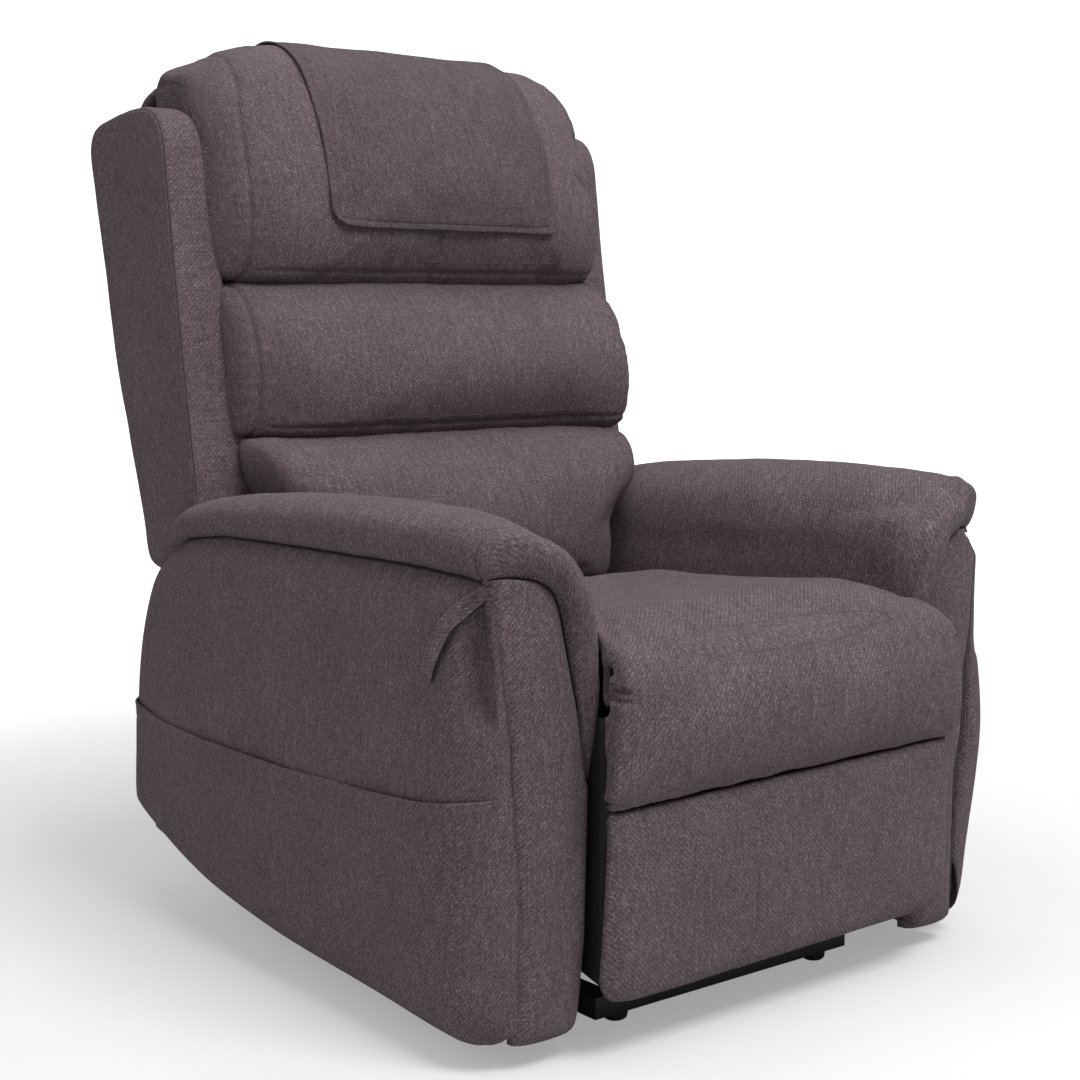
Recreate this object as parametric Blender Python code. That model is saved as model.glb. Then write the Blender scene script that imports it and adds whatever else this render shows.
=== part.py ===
# Lift recliner chair: base frame, four-bar lift, seat chassis with upholstered arms,
# reclining back, fold-out leg rest, three linear actuators and a handset in the side pocket.
#
# Frame: metres, +Z up, the chair faces -Y, the sitter's right arm is at -X.
# Shapes are drawn with y measured backwards from the front face of the arms; place()
# and add_body() move them by -DEPTH_CENTRE, so that the origin is on the floor at the
# centre of the chair's bounding box. Outlines drawn in side view are lists of (y, z).
import bpy
import bmesh
import math
import numpy as np
from mathutils import Vector

# ---- shared dimensions
DEPTH_CENTRE = 0.428    # arm front face to the centre of the overall depth

# Joint axes, all along X, as (y, z)
LIFT_BASE = (0.140, 0.070)      # lift frame on the base
LIFT_CHAIR = (0.500, 0.095)     # chair chassis on the lift frame
GUIDE_BASE = (0.100, 0.080)     # guide link on the base
GUIDE_CHAIR = (0.440, 0.140)    # guide link's free end, at the chassis stud
BACK_PIVOT = (0.585, 0.400)
LEG_PIVOT = (-0.055, 0.452)
LEG_TORQUE = (0.090, 0.290)     # torque tube of the leg rest linkage
LEG_ELBOW = (0.135, 0.137)      # joint between upper and lower links
LEG_EYE = (-0.012, 0.300)       # free end of the lower link, at the board's stud
LIFT_TUBE = (0.330, 0.090)      # cross tube of the lift frame
BACK_TUBE = (0.655, 0.402)      # cross tube of the back hinge frame

# Rear and front pins of the actuators, and the x of their centre planes
LIFT_MOTOR, LIFT_EYE = (0.660, 0.075), (0.356, 0.130)
LEG_MOTOR, LEG_CRANK = (0.480, 0.220), (0.110, 0.223)
BACK_MOTOR, BACK_CRANK = (0.185, 0.215), (0.605, 0.270)
LEG_ACT_X = -0.090
BACK_ACT_X = 0.090

# Lateral layers of the linkage, as x spans on the left side
PLATE_X = (0.240, 0.245)
LIFT_X = (0.228, 0.234)
GUIDE_X = (0.216, 0.222)
BRACKET_X = (0.2025, 0.210)
UPPER_LINK_X = (0.205, 0.210)
LUG_X = (0.199, 0.203)
LOWER_LINK_X = (0.192, 0.197)
TUBE_HALF = sum(LIFT_X) / 2     # cross tubes end inside the side bars

# Pins and holes
PIN = 0.006
CLEARANCE = 0.0004              # hole radius beyond pin radius
HOLE = PIN + CLEARANCE
BACK_PIN = 0.008
ELBOW_PIN = 0.0045
TORQUE_RADIUS = 0.0125
GAP = 0.0003                    # air between neighbouring pieces
BASE_PIN_PROUD = 0.0025         # base pins beyond the bar they carry
STUD_PROUD = 0.0015             # other pins beyond their bar

# Clevis ears and pins that hold the actuators
EAR_X = (0.017, 0.022)          # either side of the actuator's centre plane
ACT_PIN = 0.004
ACT_PIN_HALF = 0.020

# ---- clean start
for ob in list(bpy.data.objects):
    bpy.data.objects.remove(ob, do_unlink=True)


# ---- materials
def material(name, color, roughness, metallic=0.0):
    mat = bpy.data.materials.new(name)
    mat.use_nodes = True
    shader = mat.node_tree.nodes["Principled BSDF"]
    shader.inputs["Base Color"].default_value = (*color, 1.0)
    shader.inputs["Roughness"].default_value = roughness
    shader.inputs["Metallic"].default_value = metallic
    mat.diffuse_color = (*color, 1.0)
    return mat


FABRIC = material("upholstery_fabric", color=(0.105, 0.082, 0.088), roughness=0.92)
LINING = material("black_lining", color=(0.012, 0.012, 0.013), roughness=0.95)
STEEL = material("black_steel", color=(0.020, 0.020, 0.022), roughness=0.42, metallic=0.6)
ZINC = material("zinc_steel", color=(0.42, 0.42, 0.43), roughness=0.36, metallic=1.0)
CHROME = material("bright_rod", color=(0.62, 0.62, 0.63), roughness=0.18, metallic=1.0)
TIMBER = material("frame_timber", color=(0.42, 0.28, 0.16), roughness=0.72)
PLASTIC = material("black_plastic", color=(0.016, 0.016, 0.017), roughness=0.48)
RUBBER = material("rubber", color=(0.022, 0.022, 0.022), roughness=0.85)
KEY_GREY = material("grey_keys", color=(0.30, 0.30, 0.31), roughness=0.55)

# ---- spans and outlines
SIDES = (("left", 1), ("right", -1))    # label and sign of x


def span(pair, side, x=0.0):
    """An x span on one side of the plane at x, in rising order."""
    return sorted(x + v * side for v in pair)


def across(half):
    """A span centred on zero."""
    return (-half, half)


def scaled(outline, factor, centre):
    return [(centre[0] + (a - centre[0]) * factor, centre[1] + (b - centre[1]) * factor)
            for a, b in outline]


def bar_outline(start, end, radius, steps=7):
    """Outline of a link bar with round ends."""
    angle = math.atan2(end[1] - start[1], end[0] - start[0])
    return [(cy + radius * math.cos(turn + math.pi * i / steps),
             cz + radius * math.sin(turn + math.pi * i / steps))
            for (cy, cz), turn in ((end, angle - math.pi / 2), (start, angle + math.pi / 2))
            for i in range(steps + 1)]


# ---- solids
def face_out(bm):
    bmesh.ops.recalc_face_normals(bm, faces=bm.faces)
    return bm


def loft(sections):
    """Closed solid through loops of equal length, with flat ends."""
    bm = bmesh.new()
    rings = [[bm.verts.new(p) for p in section] for section in sections]
    n = len(rings[0])
    for a, b in zip(rings, rings[1:]):
        for i in range(n):
            j = (i + 1) % n
            bm.faces.new((a[i], a[j], b[j], b[i]))
    bm.faces.new(rings[0])
    bm.faces.new(rings[-1])
    return face_out(bm)


def box(x_span, y_span, z_span):
    (x0, x1), (y0, y1) = x_span, y_span
    return loft([[(x0, y0, z), (x1, y0, z), (x1, y1, z), (x0, y1, z)] for z in z_span])


def prism_x(outline, x_span):
    return loft([[(x, y, z) for y, z in outline] for x in x_span])


def prism_y(outline, y_span):
    """Prism along y of an (x, z) outline."""
    return loft([[(x, y, z) for x, z in outline] for y in y_span])


def loft_x(outline, centre, stations, side=1):
    """Loft along x; stations are (x, scale of the outline about centre)."""
    return loft([[(x * side, y, z) for y, z in scaled(outline, factor, centre)]
                 for x, factor in stations])


def rod(start, end, radius, segments=14):
    start, end = Vector(start), Vector(end)
    along = (end - start).normalized()
    helper = Vector((0, 0, 1)) if abs(along.z) < 0.9 else Vector((1, 0, 0))
    a = along.cross(helper).normalized()
    b = along.cross(a)
    turns = [2 * math.pi * i / segments for i in range(segments)]
    ring = [a * math.cos(t) + b * math.sin(t) for t in turns]
    return loft([[p + radius * v for v in ring] for p in (start, end)])


def pin(centre, x_span, radius, segments=14, side=1):
    """Round bar along x at centre (y, z); side -1 mirrors it."""
    x0, x1 = x_span
    return rod((x0 * side, *centre), (x1 * side, *centre), radius, segments)


def drill(centre, x_span, radius, side, segments=14):
    """Cutter for a round hole right through the layer x_span."""
    return pin(centre, (x_span[0] - 0.01, x_span[1] + 0.01), radius, segments, side)


def ear(outline, side, x=0.0):
    """One ear of the clevis around an actuator centred at x."""
    return prism_x(outline, span(EAR_X, side, x))


def act_pin(centre, x=0.0):
    return pin(centre, (x - ACT_PIN_HALF, x + ACT_PIN_HALF), ACT_PIN, 12)


# ---- booleans
def temp_object(bm):
    mesh = bpy.data.meshes.new("tool")
    bm.to_mesh(mesh)
    bm.free()
    ob = bpy.data.objects.new("tool", mesh)
    bpy.context.scene.collection.objects.link(ob)
    return ob


def combine(base, tools, operation):
    target = temp_object(base)
    helpers = [temp_object(tool) for tool in tools]
    for helper in helpers:
        mod = target.modifiers.new("cut", "BOOLEAN")
        mod.operation = operation
        mod.solver = "EXACT"
        mod.object = helper
    graph = bpy.context.evaluated_depsgraph_get()
    mesh = bpy.data.meshes.new_from_object(target.evaluated_get(graph))
    bm = bmesh.new()
    bm.from_mesh(mesh)
    bmesh.ops.remove_doubles(bm, verts=bm.verts, dist=1e-6)
    bmesh.ops.dissolve_degenerate(bm, dist=1e-6, edges=bm.edges)
    for ob in [target] + helpers:
        bpy.data.objects.remove(ob, do_unlink=True)
    return face_out(bm)


def union(base, *tools):
    return combine(base, tools, "UNION")


def cut(base, *tools):
    return combine(base, tools, "DIFFERENCE")


# ---- moving bodies and placing
BODIES = {}             # name: (empty at the body's axis, its world position)
SHARP_ANGLE = math.radians(32)


def add_body(name, parent, pivot, x=0.0):
    empty = bpy.data.objects.new("axis_" + name, None)
    empty.empty_display_size = 0.05
    bpy.context.scene.collection.objects.link(empty)
    world = Vector((x, pivot[0] - DEPTH_CENTRE, pivot[1]))
    empty.location = world
    if parent:
        empty.parent = BODIES[parent][0]
        empty.location = world - BODIES[parent][1]
    BODIES[name] = (empty, world)


def place(name, bm, mat, body):
    """Make the named object, with its origin on the axis of its body."""
    empty, world = BODIES[body]
    for v in bm.verts:
        v.co -= world + Vector((0, DEPTH_CENTRE, 0))
    mesh = bpy.data.meshes.new(name)
    bm.to_mesh(mesh)
    bm.free()
    mesh.shade_smooth()
    mesh.set_sharp_from_angle(angle=SHARP_ANGLE)
    mesh.materials.append(mat)
    ob = bpy.data.objects.new(name, mesh)
    bpy.context.scene.collection.objects.link(ob)
    ob.parent = empty


# name, parent, pivot (y, z), x where it is not 0
for entry in (
    ("base", None, (DEPTH_CENTRE, 0)),
    ("lift", "base", LIFT_BASE),
    ("guide", "base", GUIDE_BASE),
    ("chair", "lift", LIFT_CHAIR),
    ("back", "chair", BACK_PIVOT),
    ("legrest", "chair", LEG_PIVOT),
    ("leg_upper", "chair", LEG_TORQUE),
    ("leg_lower", "leg_upper", LEG_ELBOW),
    ("lift_motor", "base", LIFT_MOTOR),
    ("lift_rod", "lift_motor", LIFT_EYE),
    ("leg_motor", "chair", LEG_MOTOR, LEG_ACT_X),
    ("leg_rod", "leg_motor", LEG_CRANK, LEG_ACT_X),
    ("back_motor", "chair", BACK_MOTOR, BACK_ACT_X),
    ("back_rod", "back_motor", BACK_CRANK, BACK_ACT_X),
):
    add_body(*entry)

# ---- base on the floor
RAIL_X = (0.1735, 0.2035)
RAIL_Z = (0.011, 0.036)
RAIL_INSET = 0.0004     # side rails are this much thinner, top and bottom
FRONT_BAR_Y = (0.045, 0.075)
REAR_BAR_Y = (0.670, 0.700)
BASE_PIN_ROOT = 0.206   # x inside the bracket where the pins start
BRACKET = [(0.074, 0.013), (0.168, 0.013), (0.168, 0.072), (0.154, 0.086), (0.118, 0.096),
           (0.090, 0.096), (0.078, 0.084)]
MOTOR_LUG = [(0.640, 0.088), (0.640, 0.060), (0.672, 0.020), (0.698, 0.020), (0.698, 0.050),
             (0.674, 0.088)]


def base_frame():
    parts = [box(across(RAIL_X[1]), REAR_BAR_Y, RAIL_Z)]
    for _, side in SIDES:
        parts += [
            box(span(RAIL_X, side), (0.050, 0.690),
                (RAIL_Z[0] + RAIL_INSET, RAIL_Z[1] - RAIL_INSET)),
            prism_x(BRACKET, span(BRACKET_X, side)),
            pin(LIFT_BASE, (BASE_PIN_ROOT, LIFT_X[1] + BASE_PIN_PROUD), PIN, side=side),
            pin(GUIDE_BASE, (BASE_PIN_ROOT, GUIDE_X[1] + BASE_PIN_PROUD), PIN, side=side),
            ear(MOTOR_LUG, side)]
    parts.append(act_pin(LIFT_MOTOR))
    return union(box(across(RAIL_X[1]), FRONT_BAR_Y, RAIL_Z), *parts)


place("base_frame", base_frame(), STEEL, "base")

# Feet: label, x, y; and their turned profile as (radius, z)
FEET = (("front", 0.162, sum(FRONT_BAR_Y) / 2), ("rear", sum(RAIL_X) / 2, 0.640))
FOOT_PROFILE = [(0.011, 0.0), (0.0140, 0.0025), (0.0150, 0.0070), (0.0150, 0.0107)]


def foot(x, y, segments=20):
    turns = [2 * math.pi * i / segments for i in range(segments)]
    return loft([[(x + r * math.cos(t), y + r * math.sin(t), z) for t in turns]
                 for r, z in FOOT_PROFILE])


for where, foot_x, foot_y in FEET:
    for label, side in SIDES:
        place(f"base_foot_{where}_{label}", foot(foot_x * side, foot_y), RUBBER, "base")

power_supply = box((-0.155, -0.085), (0.540, 0.6695), (0.012, 0.052))
place("power_supply", power_supply, PLASTIC, "base")


# ---- lift frame and guide links
def lift_frame():
    parts = []
    for _, side in SIDES:
        bar = prism_x(bar_outline(LIFT_BASE, LIFT_CHAIR, radius=0.013), span(LIFT_X, side))
        holes = [drill(joint, LIFT_X, HOLE, side) for joint in (LIFT_BASE, LIFT_CHAIR)]
        parts.append(cut(bar, *holes))
        parts.append(ear(bar_outline(LIFT_TUBE, LIFT_EYE, radius=0.011, steps=6), side))
    return union(pin(LIFT_TUBE, across(TUBE_HALF), radius=0.0125, segments=18), *parts)


def guide_link(side):
    bar = prism_x(bar_outline(GUIDE_BASE, GUIDE_CHAIR, radius=0.009), span(GUIDE_X, side))
    return cut(bar, *[drill(joint, GUIDE_X, HOLE, side) for joint in (GUIDE_BASE, GUIDE_CHAIR)])


place("lift_frame", lift_frame(), STEEL, "lift")
for label, side in SIDES:
    place(f"guide_link_{label}", guide_link(side), ZINC, "guide")

# ---- chassis plates
ARM_IN, ARM_OUT = 0.260, 0.366  # inner and outer faces of the arm timber
STUD_ROOT = 0.242       # x inside the plate where the inward studs end
ARM_POST_ROOT = 0.243   # x inside the plate where the posts to the arm start
GUIDE_STUD = 0.0042     # radius
PLATE = [(0.060, 0.262), (0.060, 0.312), (0.075, 0.325), (0.545, 0.325), (0.560, 0.345),
         (0.560, 0.405), (0.572, 0.420), (0.598, 0.420), (0.610, 0.404), (0.606, 0.330),
         (0.536, 0.090), (0.518, 0.072), (0.484, 0.072), (0.430, 0.118), (0.420, 0.140),
         (0.430, 0.235), (0.400, 0.262)]


def chassis_plate(side):
    plate = prism_x(PLATE, span(PLATE_X, side))
    plate = cut(plate, drill(LEG_TORQUE, PLATE_X, 0.0132, side, segments=18))
    lift_stud = (LIFT_X[0] - STUD_PROUD, STUD_ROOT)
    guide_stud = (GUIDE_X[0] - STUD_PROUD, STUD_ROOT)
    studs = [pin(LIFT_CHAIR, lift_stud, PIN, side=side),
             pin(BACK_PIVOT, lift_stud, BACK_PIN, side=side),
             pin(GUIDE_CHAIR, guide_stud, GUIDE_STUD, side=side)]
    for y in (0.14, 0.40):
        studs.append(pin((y, 0.292), (ARM_POST_ROOT, ARM_IN - GAP), 0.011, 12, side))
    return union(plate, *studs)


for label, side in SIDES:
    place(f"chassis_plate_{label}", chassis_plate(side), STEEL, "chair")

# ---- seat frame, springs and boxes under the seat
FRAME_HALF = 0.2395
HANGER_TOP = 0.320
HANGER_HALF = 0.013     # half depth of the actuator hangers
HANGER_BELOW = 0.012    # hanger below its pin


def seat_frame():
    # Small insets keep the faces of the joined rails from coinciding.
    parts = [box(across(FRAME_HALF - 0.0004), (0.465, 0.495), (0.3084, 0.3716)),
             box(across(FRAME_HALF - 0.0008), (0.170, 0.200), (0.3088, 0.340))]
    for _, side in SIDES:
        parts.append(box(span((0.2095, FRAME_HALF), side), (0.004, 0.493), (0.308, 0.372)))
    for x, motor in ((LEG_ACT_X, LEG_MOTOR), (BACK_ACT_X, BACK_MOTOR)):
        y0, y1 = motor[0] - HANGER_HALF, motor[0] + HANGER_HALF
        low = motor[1] - HANGER_BELOW
        hanger = [(y0, low), (y1, low), (y1, HANGER_TOP), (y0, HANGER_TOP)]
        parts += [ear(hanger, side, x) for _, side in SIDES]
        parts.append(act_pin(motor, x))
    return union(box(across(FRAME_HALF), (0.004, 0.034), (0.308, 0.372)), *parts)


def spring(x):
    """Sinuous wire from the front rail to the rear rail."""
    steps, half_waves, swing = 44, 11, 0.020
    wire, segments = 0.0018, 5
    y_start, length, z = 0.016, 0.465, 0.3765
    up = Vector((0, 0, 1))
    turns = [2 * math.pi * k / segments for k in range(segments)]
    points = [Vector((x + swing * math.sin(math.pi * half_waves * i / steps),
                      y_start + length * i / steps, z)) for i in range(steps + 1)]
    rings = []
    for i, p in enumerate(points):
        along = (points[min(i + 1, steps)] - points[max(i - 1, 0)]).normalized()
        beside = Vector((along.y, -along.x, 0))
        rings.append([p + wire * (beside * math.cos(t) + up * math.sin(t)) for t in turns])
    return loft(rings)


place("seat_frame", seat_frame(), TIMBER, "chair")
for i, x in enumerate((-0.13, 0.0, 0.13)):
    place(f"seat_spring_{i + 1}", spring(x), ZINC, "chair")

control_box = box(across(0.045), (0.2005, 0.345), (0.262, 0.318))
place("control_box", control_box, PLASTIC, "chair")
rear_panel = box(across(0.366), (0.735, 0.747), (0.100, 0.245))
place("rear_panel", rear_panel, LINING, "chair")

# ---- arms: timber, front, pad and glides
ARM_Y = (0.019, 0.600)
ARM_Z = (0.060, 0.528)
GLIDE_HALF = 0.020      # half length of a glide
GLIDE_BEVEL = 0.005
GLIDES = (("front", 0.050, 0.028), ("rear", 0.540, 0.047))  # label, y, underside z

# (x, z) on the left side
ARM_FRONT = [(0.2603, 0.5277), (0.2603, 0.3035), (0.250, 0.298), (0.254, 0.110), (0.262, 0.056),
             (0.282, 0.037), (0.345, 0.036), (0.366, 0.048), (0.366, 0.5277)]

PAD_BASE = 0.5285       # underside of the arm pad
PAD_TOP = 0.595         # nominal crest of the arm pad
# y, crest height relative to PAD_TOP
PAD_RUN = [(-0.014, -0.030), (-0.006, -0.016), (0.030, -0.004), (0.120, 0.000), (0.220, 0.001),
           (0.350, -0.004), (0.480, -0.012), (0.580, -0.024), (0.612, -0.034), (0.620, -0.046)]
# x, fraction of the pad's height
PAD_CROWN = [(0.384, 0.0), (0.400, 0.26), (0.4015, 0.55), (0.388, 0.80), (0.358, 0.96),
             (0.325, 1.0), (0.290, 0.93), (0.262, 0.70), (0.249, 0.30)]
# (x, z) of the skirt down the arm's inner face
PAD_SKIRT = [(0.2475, 0.500), (0.2475, 0.305), (0.2597, 0.305), (0.2597, PAD_BASE)]


def arm_frame(side):
    frame = box(span((ARM_IN, ARM_OUT), side), ARM_Y, ARM_Z)
    return cut(frame, box(span((0.2, 0.4), side), (0.100, 0.520), (0.125, 0.440)))


def arm_pad(side):
    sections = []
    for y, rise in PAD_RUN:
        height = PAD_TOP + rise - PAD_BASE
        outline = [(x, PAD_BASE + part * height) for x, part in PAD_CROWN] + PAD_SKIRT
        sections.append([(x * side, y, z) for x, z in outline])
    return loft(sections)


def arm_glide(side, y, low):
    top = ARM_Z[0] - GAP
    outline = [(0.286, top), (0.286, low + GLIDE_BEVEL), (0.291, low), (0.340, low),
               (0.345, low + GLIDE_BEVEL), (0.345, top)]
    return prism_y([(x * side, z) for x, z in outline], (y - GLIDE_HALF, y + GLIDE_HALF))


for label, side in SIDES:
    place(f"arm_frame_{label}", arm_frame(side), TIMBER, "chair")
    arm_front = prism_y([(x * side, z) for x, z in ARM_FRONT], (0.0, 0.0186))
    place(f"arm_front_{label}", arm_front, FABRIC, "chair")
    place(f"arm_pad_{label}", arm_pad(side), FABRIC, "chair")
    for where, y, low in GLIDES:
        place(f"arm_glide_{where}_{label}", arm_glide(side, y, low), PLASTIC, "chair")

# ---- upholstered side panels, pocket and cloth loop
POCKET_Z = 0.274        # mouth of the side pocket
POCKET_BACK = 0.3745    # outer face of the board behind the pocket
POCKET_WALL = 0.400     # inner face of the pocket's cloth
LOOP_FLAT = 0.4083      # flat on the right panel under the cloth loop
LOOP_THICK = 0.003
PANEL_CENTRE = (0.405, 0.285)
# x, scale of the outline; from the inner face out to the crown
PANEL_STATIONS = [(0.3665, 1.0), (0.384, 1.0), (0.398, 0.975), (0.407, 0.92), (0.412, 0.80)]
PANEL_OUTLINE = [
    (0.012, 0.048), (0.030, 0.036), (0.230, 0.040), (0.420, 0.045), (0.560, 0.060), (0.670, 0.080),
    (0.815, 0.113), (0.832, 0.130), (0.822, 0.218), (0.814, 0.300), (0.800, 0.358), (0.778, 0.415),
    (0.745, 0.456), (0.700, 0.486), (0.620, 0.512), (0.540, 0.522), (0.300, 0.526), (0.060, 0.528),
    (0.006, 0.526), (0.000, 0.505), (0.000, 0.300), (0.000, 0.080)]
# x of the outer face, then (y, z) of the front edge and of the rear edge
LOOP_STATIONS = [(-0.4030, (0.003, 0.5235), (0.017, 0.5240)),
                 (-0.4090, (0.026, 0.497), (0.046, 0.509)),
                 (-0.4090, (0.054, 0.455), (0.077, 0.463)),
                 (-0.4090, (0.079, 0.414), (0.100, 0.424))]

# Limits of the cutters, beyond the panel on every side
BEYOND_Y = (-0.1, 1.0)
BELOW, ABOVE = -0.1, 0.7
OUTWARD, INWARD = -0.5, -0.3


def side_panel(side):
    return loft_x(PANEL_OUTLINE, PANEL_CENTRE, PANEL_STATIONS, side)


def right_panel():
    """Side panel reduced to a thin board behind the pocket."""
    pocket_cut = box((OUTWARD, -POCKET_BACK), BEYOND_Y, (BELOW, POCKET_Z + 0.0005))
    loop_cut = box((OUTWARD, -LOOP_FLAT), (-0.05, 0.115), (0.395, 0.56))
    return cut(side_panel(-1), pocket_cut, loop_cut)


def side_pocket():
    """Lower part of the side panel, hollowed and open at the top."""
    high_cut = box((OUTWARD, INWARD), BEYOND_Y, (POCKET_Z, ABOVE))
    back_cut = box((-POCKET_BACK - GAP, INWARD), BEYOND_Y, (BELOW, ABOVE))
    room = box((-POCKET_WALL, INWARD), (0.045, 0.770), (0.078, ABOVE))
    return cut(side_panel(-1), high_cut, back_cut, room)


place("arm_side_left", side_panel(1), FABRIC, "chair")
place("arm_side_right", right_panel(), FABRIC, "chair")
place("side_pocket", side_pocket(), FABRIC, "chair")

# Small strip running back and down from under the front of the right arm pad
cloth_loop = loft([[(x, *front), (x - LOOP_THICK, *front), (x - LOOP_THICK, *rear), (x, *rear)]
                   for x, front, rear in LOOP_STATIONS])
place("cloth_loop", cloth_loop, FABRIC, "chair")

# ---- seat cushion
SEAT_HALF = 0.243       # between the arms
ROLL_HALF = 0.275       # seat roll in front of the arms
SEAT_BOTTOM = 0.385
SEAT_TOP = 0.467
# y, half width, bottom z, edge z, height of the crown above the edge
SEAT_STATIONS = [
    (-0.0520, ROLL_HALF - 0.004, 0.4545, 0.4580, 0.0),
    (-0.0430, ROLL_HALF, 0.4480, 0.4665, 0.0010),
    (-0.0355, ROLL_HALF, 0.4475, SEAT_TOP, 0.003),
    (-0.0345, ROLL_HALF, 0.3900, SEAT_TOP, 0.003),
    (-0.0180, ROLL_HALF, SEAT_BOTTOM, SEAT_TOP, 0.006),
    (-0.0170, SEAT_HALF, SEAT_BOTTOM, SEAT_TOP, 0.006),
    (0.080, SEAT_HALF, SEAT_BOTTOM, 0.459, 0.014),
    (0.250, SEAT_HALF, SEAT_BOTTOM, 0.449, 0.014),
    (0.400, SEAT_HALF, SEAT_BOTTOM, 0.436, 0.010),
    (0.488, SEAT_HALF - 0.004, SEAT_BOTTOM, 0.424, 0.003)]


def seat_section(y, half, bottom, edge, crown):
    shoulder = edge - 0.018
    top = [(half * t, y, edge + crown * (1 - t * t))
           for t in (0.92, 0.7, 0.35, 0.0, -0.35, -0.7, -0.92)]
    return [(half, y, bottom), (half, y, shoulder), *top, (-half, y, shoulder), (-half, y, bottom)]


seat_cushion = loft([seat_section(*station) for station in SEAT_STATIONS])
place("seat_cushion", seat_cushion, FABRIC, "chair")

# ---- handset in the pocket
KEY_PLACES = (("rise", (0.314, 0.236)), ("lower", (0.338, 0.236)),
              ("recline", (0.314, 0.206)), ("upright", (0.338, 0.206)))
KEY_AXIS_X = -0.3925
KEY_SEGMENTS = 16

case = box((-0.3930, -0.3760), (0.300, 0.352), (0.085, 0.262))
wells = [pin(centre, (-0.3870, -0.40), 0.0078, KEY_SEGMENTS) for _, centre in KEY_PLACES]
place("handset_case", cut(case, *wells), PLASTIC, "chair")
for name, centre in KEY_PLACES:
    add_body("key_" + name, "chair", centre, KEY_AXIS_X)
    key = pin(centre, (-0.3895, -0.3955), 0.0070, KEY_SEGMENTS)
    place("handset_key_" + name, key, KEY_GREY, "key_" + name)

# ---- back: wings and shell
WING_CENTRE = (0.80, 0.78)
WING_STATIONS = [(0.306, 0.972), (0.314, 1.0), (0.354, 1.0), (0.362, 0.972)]    # x, scale
WING = [(0.640, 0.470), (0.652, 0.560), (0.678, 0.716), (0.701, 0.867), (0.716, 0.975),
        (0.728, 1.028), (0.756, 1.056), (0.810, 1.060), (0.880, 1.053), (0.915, 1.042),
        (0.926, 1.018), (0.917, 0.949), (0.900, 0.840), (0.876, 0.732), (0.840, 0.625),
        (0.806, 0.519), (0.787, 0.464), (0.720, 0.462)]
SHELL = [(0.745, 0.372), (0.764, 0.370), (0.785, 0.450), (0.838, 0.620), (0.874, 0.728),
         (0.898, 0.838), (0.915, 0.945), (0.922, 1.010), (0.912, 1.050), (0.888, 1.082),
         (0.850, 1.098), (0.831, 1.098), (0.831, 1.086), (0.852, 1.082), (0.880, 1.060),
         (0.900, 1.005), (0.897, 0.948), (0.880, 0.842), (0.856, 0.733), (0.820, 0.626),
         (0.767, 0.455)]

for label, side in SIDES:
    wing = loft_x(WING, WING_CENTRE, WING_STATIONS, side)
    place(f"wing_{label}", wing, FABRIC, "back")
place("back_shell", prism_x(SHELL, across(0.3055)), FABRIC, "back")

# ---- back: timber frame and hinge frame
BACK_FRAME_Z = (0.445, 1.040)
BACK_FRAME_THICK = 0.030
HINGE_ARM = [(0.5685, 0.392), (0.577, 0.3845), (0.600, 0.381), (0.715, 0.394), (0.752, 0.430),
             (0.790, 0.600), (0.734, 0.600), (0.698, 0.436), (0.690, 0.4235), (0.600, 0.4190),
             (0.577, 0.4155), (0.5685, 0.408)]


def back_face_y(z):
    """Front face of the back's timber frame."""
    return 0.660 + 0.2333 * (z - 0.440)


def back_frame():
    low, high = BACK_FRAME_Z
    y_low, y_high = back_face_y(low), back_face_y(high)
    board = prism_x([(y_low, low), (y_low + BACK_FRAME_THICK, low),
                     (y_high + BACK_FRAME_THICK, high), (y_high, high)], across(0.290))
    windows = [box(across(0.235), (0.60, 0.95), z_span) for z_span in ((0.52, 0.74), (0.80, 0.98))]
    return cut(board, *windows)


def back_hinge_frame():
    parts = []
    for _, side in SIDES:
        arm = prism_x(HINGE_ARM, span(LIFT_X, side))
        parts.append(cut(arm, drill(BACK_PIVOT, LIFT_X, BACK_PIN + CLEARANCE, side)))
        crank = bar_outline(BACK_TUBE, BACK_CRANK, radius=0.011, steps=6)
        parts.append(ear(crank, side, BACK_ACT_X))
    return union(pin(BACK_TUBE, across(TUBE_HALF), radius=0.010), *parts)


place("back_frame", back_frame(), TIMBER, "back")
place("back_hinge_frame", back_hinge_frame(), STEEL, "back")

# ---- back: cushions
LUMBAR_FRONT = [(0.500, 0.434), (0.497, 0.470), (0.503, 0.530), (0.520, 0.585), (0.548, 0.615),
                (0.585, 0.6275)]
# z, half width
LUMBAR_STATIONS = [(0.434, 0.236), (0.470, 0.241), (0.530, 0.2425), (0.594, 0.2425),
                   (0.603, 0.296), (0.616, 0.297), (0.6275, 0.290)]

MIDDLE_CENTRE = (0.725, 0.728)
MIDDLE_STATIONS = [(0.190, 1.0), (0.262, 0.975), (0.290, 0.93), (0.300, 0.84)]  # x, scale
MIDDLE = [(0.604, 0.633), (0.574, 0.640), (0.560, 0.665), (0.556, 0.700), (0.564, 0.742),
          (0.586, 0.786), (0.612, 0.812), (0.645, 0.824), (0.7485, 0.824), (0.7043, 0.633)]

HEAD_CENTRE = (0.775, 0.955)
HEAD_STATIONS = [(0.195, 1.0), (0.250, 0.978), (0.284, 0.935), (0.300, 0.86)]   # x, scale
HEAD = [(0.664, 0.8305), (0.626, 0.836), (0.606, 0.860), (0.599, 0.900), (0.604, 0.955),
        (0.624, 1.020), (0.655, 1.084), (0.690, 1.128), (0.735, 1.153), (0.785, 1.156),
        (0.818, 1.138), (0.829, 1.112), (0.822, 1.0995), (0.7985, 1.048), (0.7505, 0.8305)]
COVER_PATH = HEAD[3:11]         # part of the head cushion under the cover
COVER_OFFSETS = (0.0008, 0.0036)
COVER_HALF = 0.182


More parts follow.
